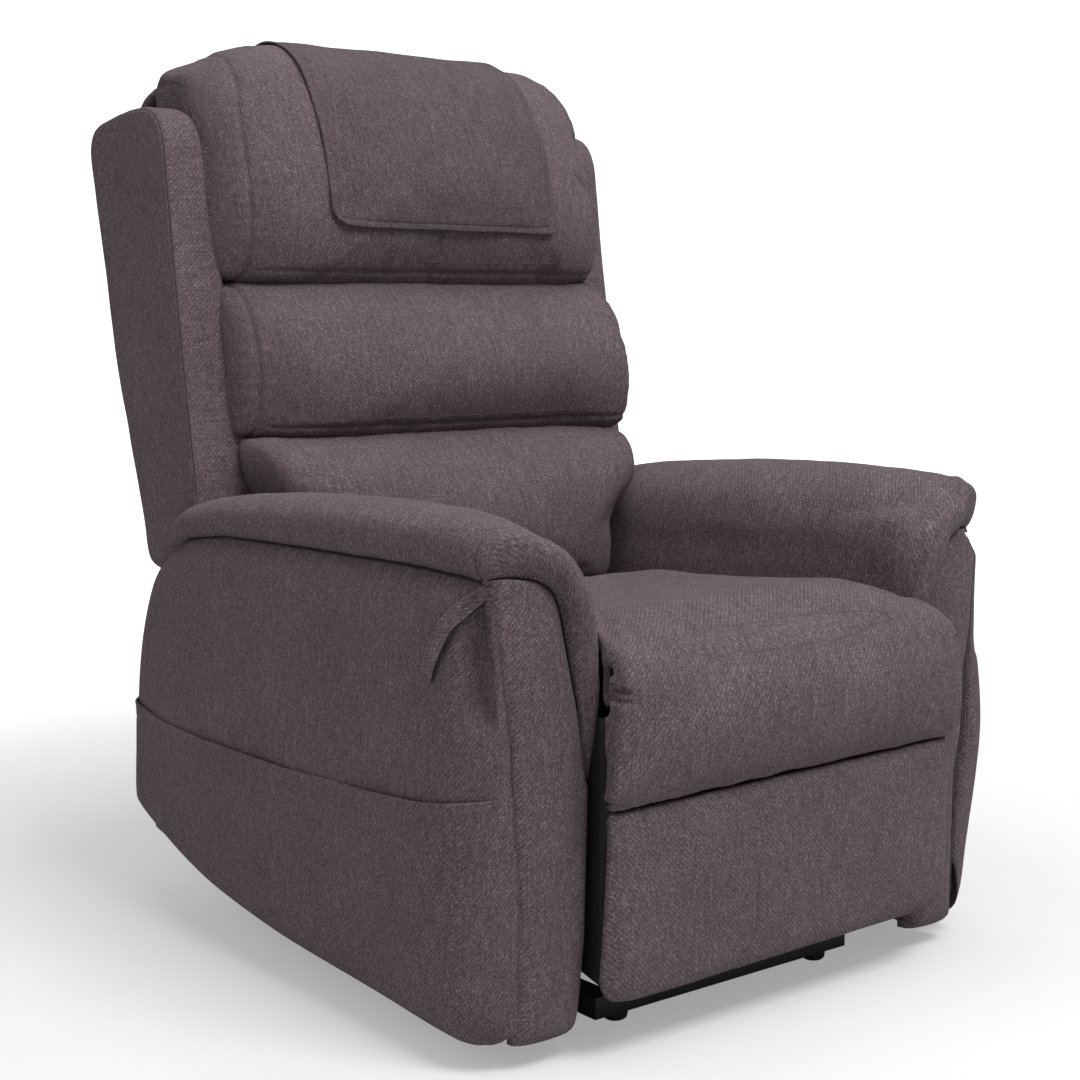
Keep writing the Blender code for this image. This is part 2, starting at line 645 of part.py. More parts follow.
def lumbar_cushion():
    front_y, front_z = zip(*LUMBAR_FRONT)
    sections = []
    for z, half in LUMBAR_STATIONS:
        front = float(np.interp(z, front_z, front_y))
        rear = back_face_y(z) - 0.0006
        left = [(half * 0.4, front), (half * 0.85, front + 0.008), (half, front + 0.030),
                (half, rear)]
        right = [(-x, y) for x, y in reversed(left)]
        sections.append([(x, y, z) for x, y in right + left])
    return loft(sections)


def bolster(outline, centre, stations):
    """Cushion lofted across the chair, its side view shrinking towards the ends."""
    mirrored = [(-x, factor) for x, factor in reversed(stations)]
    return loft_x(outline, centre, mirrored + stations)


def offset(path, distance):
    """Path moved sideways, to the outside of the head cushion."""
    moved = []
    last = len(path) - 1
    for i, p in enumerate(path):
        before, after = Vector(path[max(i - 1, 0)]), Vector(path[min(i + 1, last)])
        along = (after - before).normalized()
        normal = Vector((-along.y, along.x))
        if 0 < i < last:
            # Lengthen at a bend, so that the thickness stays even.
            entry = (Vector(p) - before).normalized()
            normal = normal / max(0.3, normal.dot(Vector((-entry.y, entry.x))))
        moved.append((p[0] + normal.x * distance, p[1] + normal.y * distance))
    return moved


place("lumbar_cushion", lumbar_cushion(), FABRIC, "back")
place("middle_cushion", bolster(MIDDLE, MIDDLE_CENTRE, MIDDLE_STATIONS), FABRIC, "back")
place("head_cushion", bolster(HEAD, HEAD_CENTRE, HEAD_STATIONS), FABRIC, "back")
cover_inner, cover_outer = [offset(COVER_PATH, d) for d in COVER_OFFSETS]
headrest_cover = prism_x(cover_inner + cover_outer[::-1], across(COVER_HALF))
place("headrest_cover", headrest_cover, FABRIC, "back")

# ---- leg rest
LEG_HALF = 0.278
LEG_PAD_BACK = -0.0360
LEG_BOTTOM = 0.079
LEG_SEAM = 0.284        # seam between the two pads
LEG_TOP = 0.4400
# fraction of the thickness from the back, scale of the width
LEG_PAD_STATIONS = ((0.0, 1.0), (0.55, 1.0), (0.85, 0.985), (1.0, 0.94))
BOARD_LUG = [(-0.026, 0.284), (-0.012, 0.290), (-0.004, 0.296), (-0.004, 0.304),
             (-0.012, 0.311), (-0.026, 0.318)]


def leg_pad(y_front, bottom, top, low_corner, high_corner):
    """Pad tapering to the front, with its lower and upper corners cut back."""
    sections = []
    for depth, width in LEG_PAD_STATIONS:
        y = LEG_PAD_BACK - (LEG_PAD_BACK - y_front) * depth
        half = LEG_HALF * width
        inset = (top - bottom) * (1 - width) * 0.9
        low, high = bottom + inset, top - inset
        right = [(-half + low_corner, low), (-half + low_corner * 0.3, low + low_corner * 0.3),
                 (-half, low + low_corner), (-half, high - high_corner),
                 (-half + high_corner * 0.3, high - high_corner * 0.3),
                 (-half + high_corner, high)]
        left = [(-x, z) for x, z in reversed(right)]
        sections.append([(x, y, z) for x, z in right + left])
    return loft(sections)


def legrest_board():
    parts = []
    for _, side in SIDES:
        parts.append(prism_x(BOARD_LUG, span(LUG_X, side)))
        parts.append(pin(LEG_EYE, (LOWER_LINK_X[0] - STUD_PROUD, 0.201), 0.0035, 12, side))
    return union(box(across(0.255), (-0.0357, -0.0240), (0.098, 0.372)), *parts)


lower_pad = leg_pad(-0.0610, LEG_BOTTOM, LEG_SEAM - 0.0005, low_corner=0.030, high_corner=0.004)
place("legrest_lower_pad", lower_pad, FABRIC, "legrest")
upper_pad = leg_pad(-0.0700, LEG_SEAM, LEG_TOP, low_corner=0.004, high_corner=0.006)
place("legrest_upper_pad", upper_pad, FABRIC, "legrest")
place("legrest_board", legrest_board(), TIMBER, "legrest")


# ---- leg rest linkage
def torque_tube():
    parts = []
    for _, side in SIDES:
        upper_link = bar_outline(LEG_TORQUE, LEG_ELBOW, radius=0.0115)
        crank = bar_outline(LEG_TORQUE, LEG_CRANK, radius=0.0105, steps=6)
        elbow_span = (LOWER_LINK_X[0] - STUD_PROUD, 0.207)
        parts += [prism_x(upper_link, span(UPPER_LINK_X, side)),
                  pin(LEG_ELBOW, elbow_span, ELBOW_PIN, 12, side),
                  ear(crank, side, LEG_ACT_X)]
    return union(pin(LEG_TORQUE, across(0.246), TORQUE_RADIUS, 18), *parts)


def lower_link(side):
    bar = prism_x(bar_outline(LEG_ELBOW, LEG_EYE, radius=0.0100), span(LOWER_LINK_X, side))
    return cut(bar, drill(LEG_ELBOW, LOWER_LINK_X, ELBOW_PIN + CLEARANCE, side, 12),
               drill(LEG_EYE, LOWER_LINK_X, 0.0055, side, 12))


place("legrest_torque_tube", torque_tube(), STEEL, "leg_upper")
for label, side in SIDES:
    place(f"legrest_link_{label}", lower_link(side), ZINC, "leg_lower")

# ---- linear actuators
EYE_HALF = 0.0155       # half width of the eyes at both ends
ACT_HOLE = ACT_PIN + GAP


def actuator(prefix, x, rear, front, closed, rod_length, flip):
    """Housing on the rear pin, rod on the front pin.

    closed is the pin distance when retracted; flip (1 or -1) turns the gearbox over.
    """
    rear, front = Vector((x, *rear)), Vector((x, *front))
    along = (front - rear).normalized()
    normal = Vector((0, -along.z, along.y)) * flip
    beside = Vector((1, 0, 0))

    def block(start, end, low, high, half):
        ring = [(-half, low), (half, low), (half, high), (-half, high)]
        return loft([[rear + along * t + beside * p + normal * q for p, q in ring]
                     for t in (start, end)])

    def cross_bar(centre, half, radius, segments):
        return rod(centre - beside * half, centre + beside * half, radius, segments)

    gearbox = block(0.026, 0.074, low=-0.022, high=0.024, half=0.026)
    neck = block(0.004, 0.030, low=-0.009, high=0.009, half=0.0150)
    tube = rod(rear + along * 0.070, rear + along * (closed - 0.034), 0.0145, 16)
    bore = rod(rear + along * 0.082, rear + along * closed, 0.0088)
    housing = union(gearbox, cross_bar(rear, EYE_HALF, 0.0115, 14), neck, tube)
    housing = cut(housing, cross_bar(rear, 0.03, ACT_HOLE, 12), bore)
    place(prefix + "_housing", housing, PLASTIC, prefix + "_motor")

    shaft = rod(front - along * rod_length, front - along * 0.006, 0.0080)
    shaft = union(shaft, cross_bar(front, EYE_HALF, 0.0105, 14))
    shaft = cut(shaft, cross_bar(front, 0.03, ACT_HOLE, 12))
    place(prefix + "_rod", shaft, CHROME, prefix + "_rod")


actuator("lift", 0.0, LIFT_MOTOR, LIFT_EYE, closed=0.3089, rod_length=0.210, flip=-1)
actuator("leg", LEG_ACT_X, LEG_MOTOR, LEG_CRANK, closed=0.3700, rod_length=0.200, flip=1)
actuator("back", BACK_ACT_X, BACK_MOTOR, BACK_CRANK, closed=0.3395, rod_length=0.155, flip=1)

bpy.context.view_layer.update()
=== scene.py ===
# Fabric recliner with a three cushion back, a seat that runs on over the legrest, wings and padded arms.
# Frame: x runs across the chair (sitter's left is +x), y from front to rear, z up, floor at z = 0.
# Pieces are drawn with y = 0 at the front face of the arms; SHIFT carries them into the frame.
# Each fabric point holds a "weave" attribute: its place on the cloth in metres.
import bmesh
import bpy
import math
import numpy as np
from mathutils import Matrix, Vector
from mathutils.bvhtree import BVHTree


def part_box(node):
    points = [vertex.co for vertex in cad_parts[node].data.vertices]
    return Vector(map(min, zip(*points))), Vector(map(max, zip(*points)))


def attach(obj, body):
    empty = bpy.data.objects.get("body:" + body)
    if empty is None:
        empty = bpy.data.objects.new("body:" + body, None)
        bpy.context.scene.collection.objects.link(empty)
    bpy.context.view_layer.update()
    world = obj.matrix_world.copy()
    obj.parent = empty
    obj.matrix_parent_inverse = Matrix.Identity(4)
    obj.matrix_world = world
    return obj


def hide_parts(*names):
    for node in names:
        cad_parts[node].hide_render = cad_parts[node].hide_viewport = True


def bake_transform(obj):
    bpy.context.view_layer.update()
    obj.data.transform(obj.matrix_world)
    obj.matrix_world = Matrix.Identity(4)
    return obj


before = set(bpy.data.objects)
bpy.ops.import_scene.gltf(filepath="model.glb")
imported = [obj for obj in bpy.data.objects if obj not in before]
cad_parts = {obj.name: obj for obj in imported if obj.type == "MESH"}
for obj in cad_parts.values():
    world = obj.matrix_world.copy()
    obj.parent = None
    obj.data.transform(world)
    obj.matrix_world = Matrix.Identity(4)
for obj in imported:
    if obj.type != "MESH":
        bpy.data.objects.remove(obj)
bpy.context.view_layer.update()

FRONT_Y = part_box("arm_front_right")[0].y
SHIFT = np.array([0.0, FRONT_Y, 0.0])
SIDES = (("left", 1), ("right", -1))
BACK_SLOPE = 0.2333  # rearward lean of the back per metre of height


def pick(full):
    return full


VOXEL = pick(0.0055)


# ---------------------------------------------------------------- number tools
def arr(values):
    return np.array(values, float)


def unit(vectors):
    return vectors / np.maximum(np.linalg.norm(vectors, axis=-1, keepdims=True), 1e-9)


def tangents(path):
    return unit(np.gradient(path, axis=0))


def arc_length(path):
    return np.concatenate([[0], np.cumsum(np.linalg.norm(np.diff(path, axis=0), axis=1))])


def curve(points, count, closed=False):
    """Smooth line through points, as evenly spaced samples."""
    knots = arr(points)
    if closed:
        knots = np.vstack([knots[-2:], knots, knots[:3]])
    chords = np.maximum(np.linalg.norm(np.diff(knots, axis=0), axis=1), 1e-9)
    times = np.concatenate([[0], np.cumsum(chords ** 0.5)])
    spans = np.diff(times)
    rates = np.diff(knots, axis=0) / spans[:, None]
    slopes = np.zeros_like(knots)
    slopes[1:-1] = ((rates[:-1] * spans[1:, None] + rates[1:] * spans[:-1, None])
                    / (spans[:-1] + spans[1:])[:, None])
    slopes[0], slopes[-1] = rates[0], rates[-1]
    first, last = (times[2], times[-3]) if closed else (times[0], times[-1])
    fine = np.linspace(first, last, 40 * len(knots))
    k = np.clip(np.searchsorted(times, fine, side="right") - 1, 0, len(times) - 2)
    u = ((fine - times[k]) / spans[k])[:, None]
    span = spans[k][:, None]
    dense = ((2 * u**3 - 3 * u**2 + 1) * knots[k] + (u**3 - 2 * u**2 + u) * span * slopes[k]
             + (-2 * u**3 + 3 * u**2) * knots[k + 1] + (u**3 - u**2) * span * slopes[k + 1])
    arc = arc_length(dense)
    at = np.linspace(0, arc[-1], count, endpoint=not closed)
    return np.stack([np.interp(at, arc, dense[:, i]) for i in range(dense.shape[1])], 1)


def table(x, pairs):
    """Value at x read from a list of (x, value)."""
    pairs = arr(pairs)
    return np.interp(x, pairs[:, 0], pairs[:, 1])


def ease(t):
    """Smooth rise from 0 to 1 as t goes from 0 to 1."""
    t = np.clip(t, 0, 1)
    return t * t * (3 - 2 * t)


def bell(distance, width):
    return np.exp(-(distance / width) ** 2)


def waves(points, scale, seed, stretch=(1, 1, 1)):
    """Smooth noise in about -1..1 made of nine seeded plane waves, one value per point."""
    rng = np.random.default_rng(seed)
    scaled = arr(points).reshape(-1, 3) * arr(stretch) * scale
    total = 0
    for _ in range(9):
        direction = rng.normal(size=3)
        direction /= np.linalg.norm(direction)
        rate = 0.6 + 0.9 * rng.random()
        total = total + np.sin(scaled @ (direction * rate * 2 * math.pi) + rng.random() * 6.28)
    return (total / 5.0).reshape(np.shape(points)[:-1])


def line_distance(points, path):
    """Plane distance from points to an open path, and the arc position of the nearest point."""
    starts, along = path[:-1], path[1:] - path[:-1]
    squares = np.maximum((along**2).sum(1), 1e-12)
    arc = np.concatenate([[0], np.cumsum(np.sqrt(squares))])
    best = np.full(len(points), 1e9)
    place = np.zeros(len(points))
    for i in range(len(starts)):
        t = np.clip(((points - starts[i]) @ along[i]) / squares[i], 0, 1)
        gap = np.linalg.norm(points - (starts[i] + t[:, None] * along[i]), axis=1)
        closer = gap < best
        best[closer] = gap[closer]
        place[closer] = (arc[i] + t * math.sqrt(squares[i]))[closer]
    return best, place


def inset(outline, depth):
    """Closed plane outline moved inwards."""
    tangent = unit(np.roll(outline, -1, 0) - np.roll(outline, 1, 0))
    normal = np.stack([-tangent[:, 1], tangent[:, 0]], 1)
    x, y = outline.T
    area = 0.5 * np.sum(x * np.roll(y, -1) - np.roll(x, -1) * y)
    return outline + normal * depth * (1 if area > 0 else -1)


def across(xs, profile):
    """Grid that repeats a side view profile (y, z) at each x."""
    grid = np.empty((len(xs), len(profile), 3))
    grid[..., 0] = xs[:, None]
    grid[..., 1:] = profile
    return grid


# ---------------------------------------------------------------- mesh tools
def grid_faces(rows, cols, wrap=False, start=0, flip=False):
    i, j = [v.ravel() for v in np.meshgrid(
        np.arange(rows - 1), np.arange(cols if wrap else cols - 1), indexing="ij")]
    after = (j + 1) % cols
    low, high = i * cols, (i + 1) * cols
    quads = np.stack([low + j, low + after, high + after, high + j], 1) + start
    return quads[:, ::-1] if flip else quads


def fix_normals(data):
    work = bmesh.new()
    work.from_mesh(data)
    bmesh.ops.recalc_face_normals(work, faces=work.faces)
    work.to_mesh(data)
    work.free()


def set_weave(data, weave):
    values = np.zeros((len(data.vertices), 3), np.float32)
    weave = arr(weave)
    values[:, : weave.shape[1]] = weave
    layer = data.attributes.get("weave") or data.attributes.new("weave", "FLOAT_VECTOR", "POINT")
    layer.data.foreach_set("vector", values.ravel())


def mesh(name, points, faces, weave=None, material=None):
    data = bpy.data.meshes.new(name)
    data.from_pydata(arr(points).tolist(), [], [list(map(int, f)) for f in faces])
    data.update()
    fix_normals(data)
    if weave is not None:
        set_weave(data, weave)
    data.shade_smooth()
    ob = bpy.data.objects.new(name, data)
    bpy.context.scene.collection.objects.link(ob)
    if material:
        data.materials.append(material)
    return ob


def read_vectors(items, key):
    values = np.zeros(len(items) * 3, np.float32)
    items.foreach_get(key, values)
    return values.reshape(-1, 3).astype(float)


def coords(ob):
    return read_vectors(ob.data.vertices, "co")


def normals(ob):
    return read_vectors(ob.data.vertices, "normal")


def set_coords(ob, points):
    ob.data.vertices.foreach_set("co", points.astype(np.float32).ravel())
    ob.data.update()


def displace(ob, points, amount):
    """Sets the points, moved along the object's present normals."""
    set_coords(ob, points + normals(ob) * amount[:, None])


def grid_normals(grid):
    return unit(np.cross(np.gradient(grid, axis=0), np.gradient(grid, axis=1)))


def facing_normals(grid, row, col, axis, sign):
    """Grid normals, flipped if the one at (row, col) points against sign along axis."""
    found = grid_normals(grid)
    return -found if found[row, col, axis] * sign < 0 else found


def slab(name, outer, inner, weave, material):
    """Closed piece between an outer and an inner grid of the same size."""
    rows, cols = outer.shape[:2]
    count = rows * cols
    index = np.arange(count).reshape(rows, cols)
    rim = np.concatenate([index[0], index[1:, -1], index[-1, -2::-1], index[-2:0:-1, 0]])
    after = np.roll(rim, -1)
    faces = np.vstack([grid_faces(rows, cols), grid_faces(rows, cols, start=count, flip=True),
                       np.stack([rim, after, after + count, rim + count], 1)])
    points = np.vstack([outer.reshape(-1, 3), inner.reshape(-1, 3)]) + SHIFT
    weave = np.vstack([weave.reshape(-1, weave.shape[-1])] * 2)
    return mesh(name, points, faces, weave, material)


def ring_piece(name, rings, weave=None, material=None):
    """Closed piece through rings of equal count, each end closed to a point at its middle."""
    count, total = len(rings[0]), len(rings) * len(rings[0])
    points = np.vstack(rings + [rings[0].mean(0)[None], rings[-1].mean(0)[None]])
    faces = grid_faces(len(rings), count, wrap=True).tolist()
    last = total - count
    for j in range(count):
        after = (j + 1) % count
        faces.append([total, after, j])
        faces.append([total + 1, last + j, last + after])
    if weave is not None:
        weave = np.vstack(weave)
        weave = np.vstack([weave, weave[:count].mean(0)[None], weave[-count:].mean(0)[None]])
    return mesh(name, points + SHIFT, faces, weave, material)


def place(ob, slot, body, *replaced):
    """Hides the CAD pieces the object stands for and hangs it on the body it rides; slot is not used."""
    if replaced:
        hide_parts(*replaced)
    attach(ob, body)


def realize(ob):
    """Applies the object's modifiers."""
    graph = bpy.context.evaluated_depsgraph_get()
    data = bpy.data.meshes.new_from_object(ob.evaluated_get(graph))
    old = ob.data
    ob.modifiers.clear()
    ob.data = data
    data.name = ob.name
    bpy.data.meshes.remove(old)


def joined(parts):
    """One (points, faces) pair out of a list of them."""
    points, faces, base = [], [], 0
    for part_points, part_faces in parts:
        points.append(part_points)
        faces += [[v + base for v in face] for face in part_faces]
        base += len(part_points)
    return np.vstack(points), faces


def merged(name, solids):
    """One soft volume out of overlapping solids, remeshed evenly."""
    points, faces = joined([(coords(s), [p.vertices for p in s.data.polygons]) for s in solids])
    for solid in solids:
        bpy.data.objects.remove(solid, do_unlink=True)
    ob = mesh(name, points, faces)
    remesh = ob.modifiers.new("voxels", "REMESH")
    remesh.mode = "VOXEL"
    remesh.voxel_size = VOXEL
    remesh.use_smooth_shade = True
    realize(ob)
    return ob


def relax(ob, times, factor):
    smooth = ob.modifiers.new("relax", "SMOOTH")
    smooth.factor = factor
    smooth.iterations = times
    realize(ob)


def refine(ob):
    subdivide = ob.modifiers.new("fine", "SUBSURF")
    subdivide.levels = subdivide.render_levels = 1
    realize(ob)
    ob.data.shade_smooth()


# ---------------------------------------------------------------- inflating the cushions
SIM_FRAMES = 20
SIMS = []  # (object, greatest movement, points at rest)


def puff(ob, cap, pressure, pinned, stiff=12.0, bend=0.6):
    """Sets the object up to swell as cloth, with the pinned points held."""
    SIMS.append((ob, cap, coords(ob)))
    group = ob.vertex_groups.new(name="pin")
    group.add(np.nonzero(pinned)[0].tolist(), 1.0, "REPLACE")
    modifier = ob.modifiers.new("Cloth", "CLOTH")
    cloth = modifier.settings
    cloth.quality = 5
    cloth.mass = 0.3
    cloth.tension_stiffness = cloth.compression_stiffness = stiff
    cloth.shear_stiffness = stiff * 0.5
    cloth.bending_stiffness = bend
    cloth.use_pressure = True
    cloth.uniform_pressure_force = pressure
    cloth.effector_weights.gravity = 0.0
    cloth.air_damping = 3.0
    cloth.vertex_group_mass = "pin"
    modifier.collision_settings.use_collision = False
    modifier.collision_settings.use_self_collision = False
    modifier.point_cache.frame_start = 1
    modifier.point_cache.frame_end = SIM_FRAMES


def run_sims():
    scene = bpy.context.scene
    for step in range(1, SIM_FRAMES + 1):
        scene.frame_set(step)
    graph = bpy.context.evaluated_depsgraph_get()
    for ob, cap, rest in SIMS:
        moved = read_vectors(ob.evaluated_get(graph).to_mesh().vertices, "co") - rest
        size = np.linalg.norm(moved, axis=1, keepdims=True)
        moved *= np.minimum(1.0, cap / np.maximum(size, 1e-9))
        ob.modifiers.clear()
        ob.vertex_groups.clear()
        set_coords(ob, rest + np.nan_to_num(moved))
    scene.frame_set(1)


# ---------------------------------------------------------------- materials
class Material:
    """Node material; each method adds one node and gives back its output."""

    def __init__(self, name):
        self.mat = bpy.data.materials.new(name)
        self.mat.use_nodes = True
        self.tree = self.mat.node_tree
        self.bsdf = self.tree.nodes["Principled BSDF"]

    def node(self, kind, **settings):
        made = self.tree.nodes.new(kind)
        for key, value in settings.items():
            setattr(made, key, value)
        return made

    def put(self, socket, value):
        if isinstance(value, bpy.types.NodeSocket):
            self.tree.links.new(value, socket)
        else:
            socket.default_value = value

    def set(self, name, value):
        self.put(self.bsdf.inputs[name], value)

    def math(self, operation, *values, clamp=False):
        made = self.node("ShaderNodeMath", operation=operation, use_clamp=clamp)
        for socket, value in zip(made.inputs, values):
            self.put(socket, value)
        return made.outputs[0]

    def add(self, a, b, clamp=False):
        return self.math("ADD", a, b, clamp=clamp)

    def sub(self, a, b):
        return self.math("SUBTRACT", a, b)

    def mul(self, a, b):
        return self.math("MULTIPLY", a, b)

    def swing(self, value, middle, amount):
        """The value's departure from middle, scaled."""
        return self.mul(self.sub(value, middle), amount)

    def object_coords(self):
        return self.node("ShaderNodeTexCoord").outputs["Object"]

    def xyz(self, vector):
        made = self.node("ShaderNodeSeparateXYZ")
        self.put(made.inputs[0], vector)
        return made.outputs

    def join(self, x, y, z):
        made = self.node("ShaderNodeCombineXYZ")
        for socket, value in zip(made.inputs, (x, y, z)):
            self.put(socket, value)
        return made.outputs[0]

    def scaled(self, values, scales):
        return self.join(*[self.mul(value, scale) for value, scale in zip(values, scales)])

    def noise(self, vector, scale, detail):
        made = self.node("ShaderNodeTexNoise")
        self.put(made.inputs["Vector"], vector)
        made.inputs["Scale"].default_value = scale
        made.inputs["Detail"].default_value = detail
        made.inputs["Roughness"].default_value = 0.5
        return made.outputs["Fac"]

    def white(self, vector):
        made = self.node("ShaderNodeTexWhiteNoise", noise_dimensions="3D")
        self.put(made.inputs["Vector"], vector)
        return made.outputs["Value"]

    def ramp(self, factor, stops):
        made = self.node("ShaderNodeValToRGB")
        elements = made.color_ramp.elements
        while len(elements) < len(stops):
            elements.new(0.5)
        for element, (position, color) in zip(elements, stops):
            element.position = position
            element.color = (*color, 1.0)
        self.put(made.inputs[0], factor)
        return made.outputs[0]

    def bump(self, height, strength, distance):
        made = self.node("ShaderNodeBump")
        made.inputs["Strength"].default_value = strength
        made.inputs["Distance"].default_value = distance
        self.put(made.inputs["Height"], height)
        return made.outputs[0]


CLOTH_COLOR = (0.118, 0.0905, 0.0975)  # dark brown-mauve
YARN_PITCH = 0.00160
YARN_WOBBLE = 0.0016   # how far the yarns stray from straight
WEFT_HEIGHT = 0.8      # against 1 for the warp
YARN_OFFSET = 3.7      # noise step from one yarn to the next
YARN_STREAKS = 130.0   # colour changes per metre along a yarn


def cloth_material(name, tone=1.0):
    """Two by two twill of mottled yarns with pale flecks and slubs along the warp."""
    m = Material(name)
    weave = m.node("ShaderNodeAttribute", attribute_name="weave").outputs["Vector"]
    stray = m.noise(weave, scale=55.0, detail=2.0)
    x, y, _ = m.xyz(weave)
    wobble = m.swing(stray, 0.5, YARN_WOBBLE)
    u = m.math("DIVIDE", m.add(x, wobble), YARN_PITCH)
    v = m.math("DIVIDE", m.add(y, wobble), YARN_PITCH)
    warp, weft = m.math("FLOOR", u), m.math("FLOOR", v)
    warp_round = m.math("SINE", m.mul(m.math("FRACT", u), math.pi))
    weft_round = m.math("SINE", m.mul(m.math("FRACT", v), math.pi))
    # two yarns over, two under
    turn = m.math("FLOORED_MODULO", m.add(warp, weft), 4.0)
    over = m.math("LESS_THAN", turn, 1.5)
    height = m.add(m.mul(over, warp_round),
                   m.mul(m.sub(1.0, over), m.mul(weft_round, WEFT_HEIGHT)))

    fleck = m.white(m.join(warp, weft, 0.0))
    warp_tone = m.noise(m.join(m.mul(warp, YARN_OFFSET), m.mul(y, YARN_STREAKS), 0.0),
                        scale=1.0, detail=1.0)
    weft_tone = m.noise(m.join(m.mul(x, YARN_STREAKS), m.mul(weft, YARN_OFFSET), 7.0),
                        scale=1.0, detail=1.0)
    slub = m.noise(m.join(m.mul(x, 420.0), m.mul(y, 26.0), 3.0), scale=1.0, detail=2.0)
    broad = m.noise(weave, scale=9.0, detail=3.0)
    shade = m.swing(fleck, 0.5, 0.34)
    yarn = m.add(m.mul(over, warp_tone), m.mul(m.sub(1.0, over), weft_tone))
    # what shifts the shade: value, its middle, weight; the height term is painted light and shade,
    # lighter on the yarn crowns and darker between yarns
    for value, middle, weight in ((yarn, 0.5, 0.70), (slub, 0.5, 0.46), (broad, 0.5, 0.20),
                                  (over, 0.5, -0.16), (height, 0.6, 0.22)):
        shade = m.add(shade, m.swing(value, middle, weight))
    shade = m.add(shade, 0.5, clamp=True)
    base = arr(CLOTH_COLOR) * tone
    m.set("Base Color", m.ramp(shade, [
        (0.0, base * 0.34), (0.32, base * 0.68), (0.5, base),
        (0.72, base * 1.55), (1.0, base * 2.7 + 0.01)]))
    m.set("Roughness", m.add(0.86, m.mul(fleck, 0.12)))
    m.set("Specular IOR Level", 0.18)
    m.set("Sheen Weight", 0.10)
    m.set("Sheen Roughness", 0.55)
    m.set("Sheen Tint", (0.62, 0.55, 0.57, 1))
    fuzz = m.noise(weave, scale=1500.0, detail=1.0)
    relief = m.add(height, m.mul(fuzz, 0.35))
    m.set("Normal", m.bump(relief, strength=0.75, distance=0.00055))
    return m.mat


def speckled(name, color, rough, grain, depth, spread, metal=0.0):
    """Fine grain and broad cloudiness; spread is the colour change either way."""
    m = Material(name)
    solid = m.object_coords()
    fine = m.noise(solid, scale=grain, detail=3.0)
    broad = m.noise(solid, scale=11.0, detail=3.0)
    mix = m.add(m.mul(fine, 0.6), m.mul(broad, 0.4))
    base = arr(color)
    m.set("Base Color", m.ramp(mix, [(0.25, base * (1 - spread)), (0.75, base * (1 + spread))]))
    m.set("Roughness", m.add(rough - 0.08, m.mul(broad, 0.16)))
    m.set("Metallic", metal)
    m.set("Normal", m.bump(fine, strength=0.5, distance=depth))
    return m.mat


def wood(name):
    """Sawn timber with its fibres along y."""
    m = Material(name)
    solid = m.object_coords()
    x, y, z = m.xyz(solid)
    warp = m.noise(solid, scale=6.0, detail=2.0)
    rings = m.math("SINE", m.mul(m.add(m.mul(z, 90.0), m.mul(warp, 9.0)), 3.2))
    fibre = m.noise(m.scaled((x, y, z), (900.0, 30.0, 900.0)), scale=1.0, detail=2.0)
    mix = m.add(m.mul(rings, 0.22), m.mul(fibre, 0.8), clamp=True)
    m.set("Base Color", m.ramp(mix, [
        (0.1, (0.24, 0.145, 0.075)), (0.5, (0.40, 0.27, 0.155)), (0.9, (0.52, 0.38, 0.24))]))
    m.set("Roughness", m.add(0.6, m.mul(fibre, 0.2)))
    m.set("Normal", m.bump(fibre, strength=0.4, distance=0.0002))
    return m.mat


def brushed(name, color, rough):
    """Metal brushed along y."""
    m = Material(name)
    streaks = m.noise(m.scaled(m.xyz(m.object_coords()), (900.0, 14.0, 900.0)),
                      scale=1.0, detail=2.0)
    spots = m.noise(m.object_coords(), scale=28.0, detail=4.0)
    base = arr(color)
    mix = m.add(m.mul(streaks, 0.5), m.mul(spots, 0.5))
    m.set("Base Color", m.ramp(mix, [(0.25, base * 0.72), (0.75, base * 1.12)]))
    m.set("Roughness", m.add(rough - 0.06, m.mul(mix, 0.16)))
    m.set("Metallic", 1.0)
    m.set("Normal", m.bump(streaks, strength=0.3, distance=0.0001))
    return m.mat


FABRIC = cloth_material("fabric")
COVER = cloth_material("cover_fabric", tone=0.76)
STRAP = cloth_material("strap_fabric", tone=1.22)
THREAD = speckled("thread", (0.098, 0.077, 0.082), rough=0.9, grain=2500.0, depth=0.0002, spread=0.4)
# near-black tubes of painted shade, laid in seam grooves, creases and under edges
SEAM_SHADE = speckled("seam_shadow", (0.012, 0.009, 0.010), rough=0.95, grain=2500.0,
                depth=0.0002, spread=0.4)
LINING = speckled("black_lining", (0.0075, 0.0072, 0.0075), rough=0.95, grain=1400.0,
                  depth=0.0003, spread=0.5)
STEEL = speckled("black_steel", (0.016, 0.016, 0.017), rough=0.42, metal=0.35, grain=900.0,
                 depth=0.00015, spread=0.35)
PLASTIC = speckled("black_plastic", (0.014, 0.014, 0.015), rough=0.46, grain=1300.0,
                   depth=0.00012, spread=0.25)
RUBBER = speckled("rubber", (0.016, 0.0155, 0.0155), rough=0.78, grain=800.0,
                  depth=0.0002, spread=0.4)
KEYS = speckled("keys", (0.30, 0.30, 0.31), rough=0.52, grain=1500.0, depth=0.0001, spread=0.15)
ZINC = brushed("zinc", (0.46, 0.46, 0.47), rough=0.36)
ROD = brushed("bright_rod", (0.66, 0.66, 0.67), rough=0.18)
TIMBER = wood("timber")

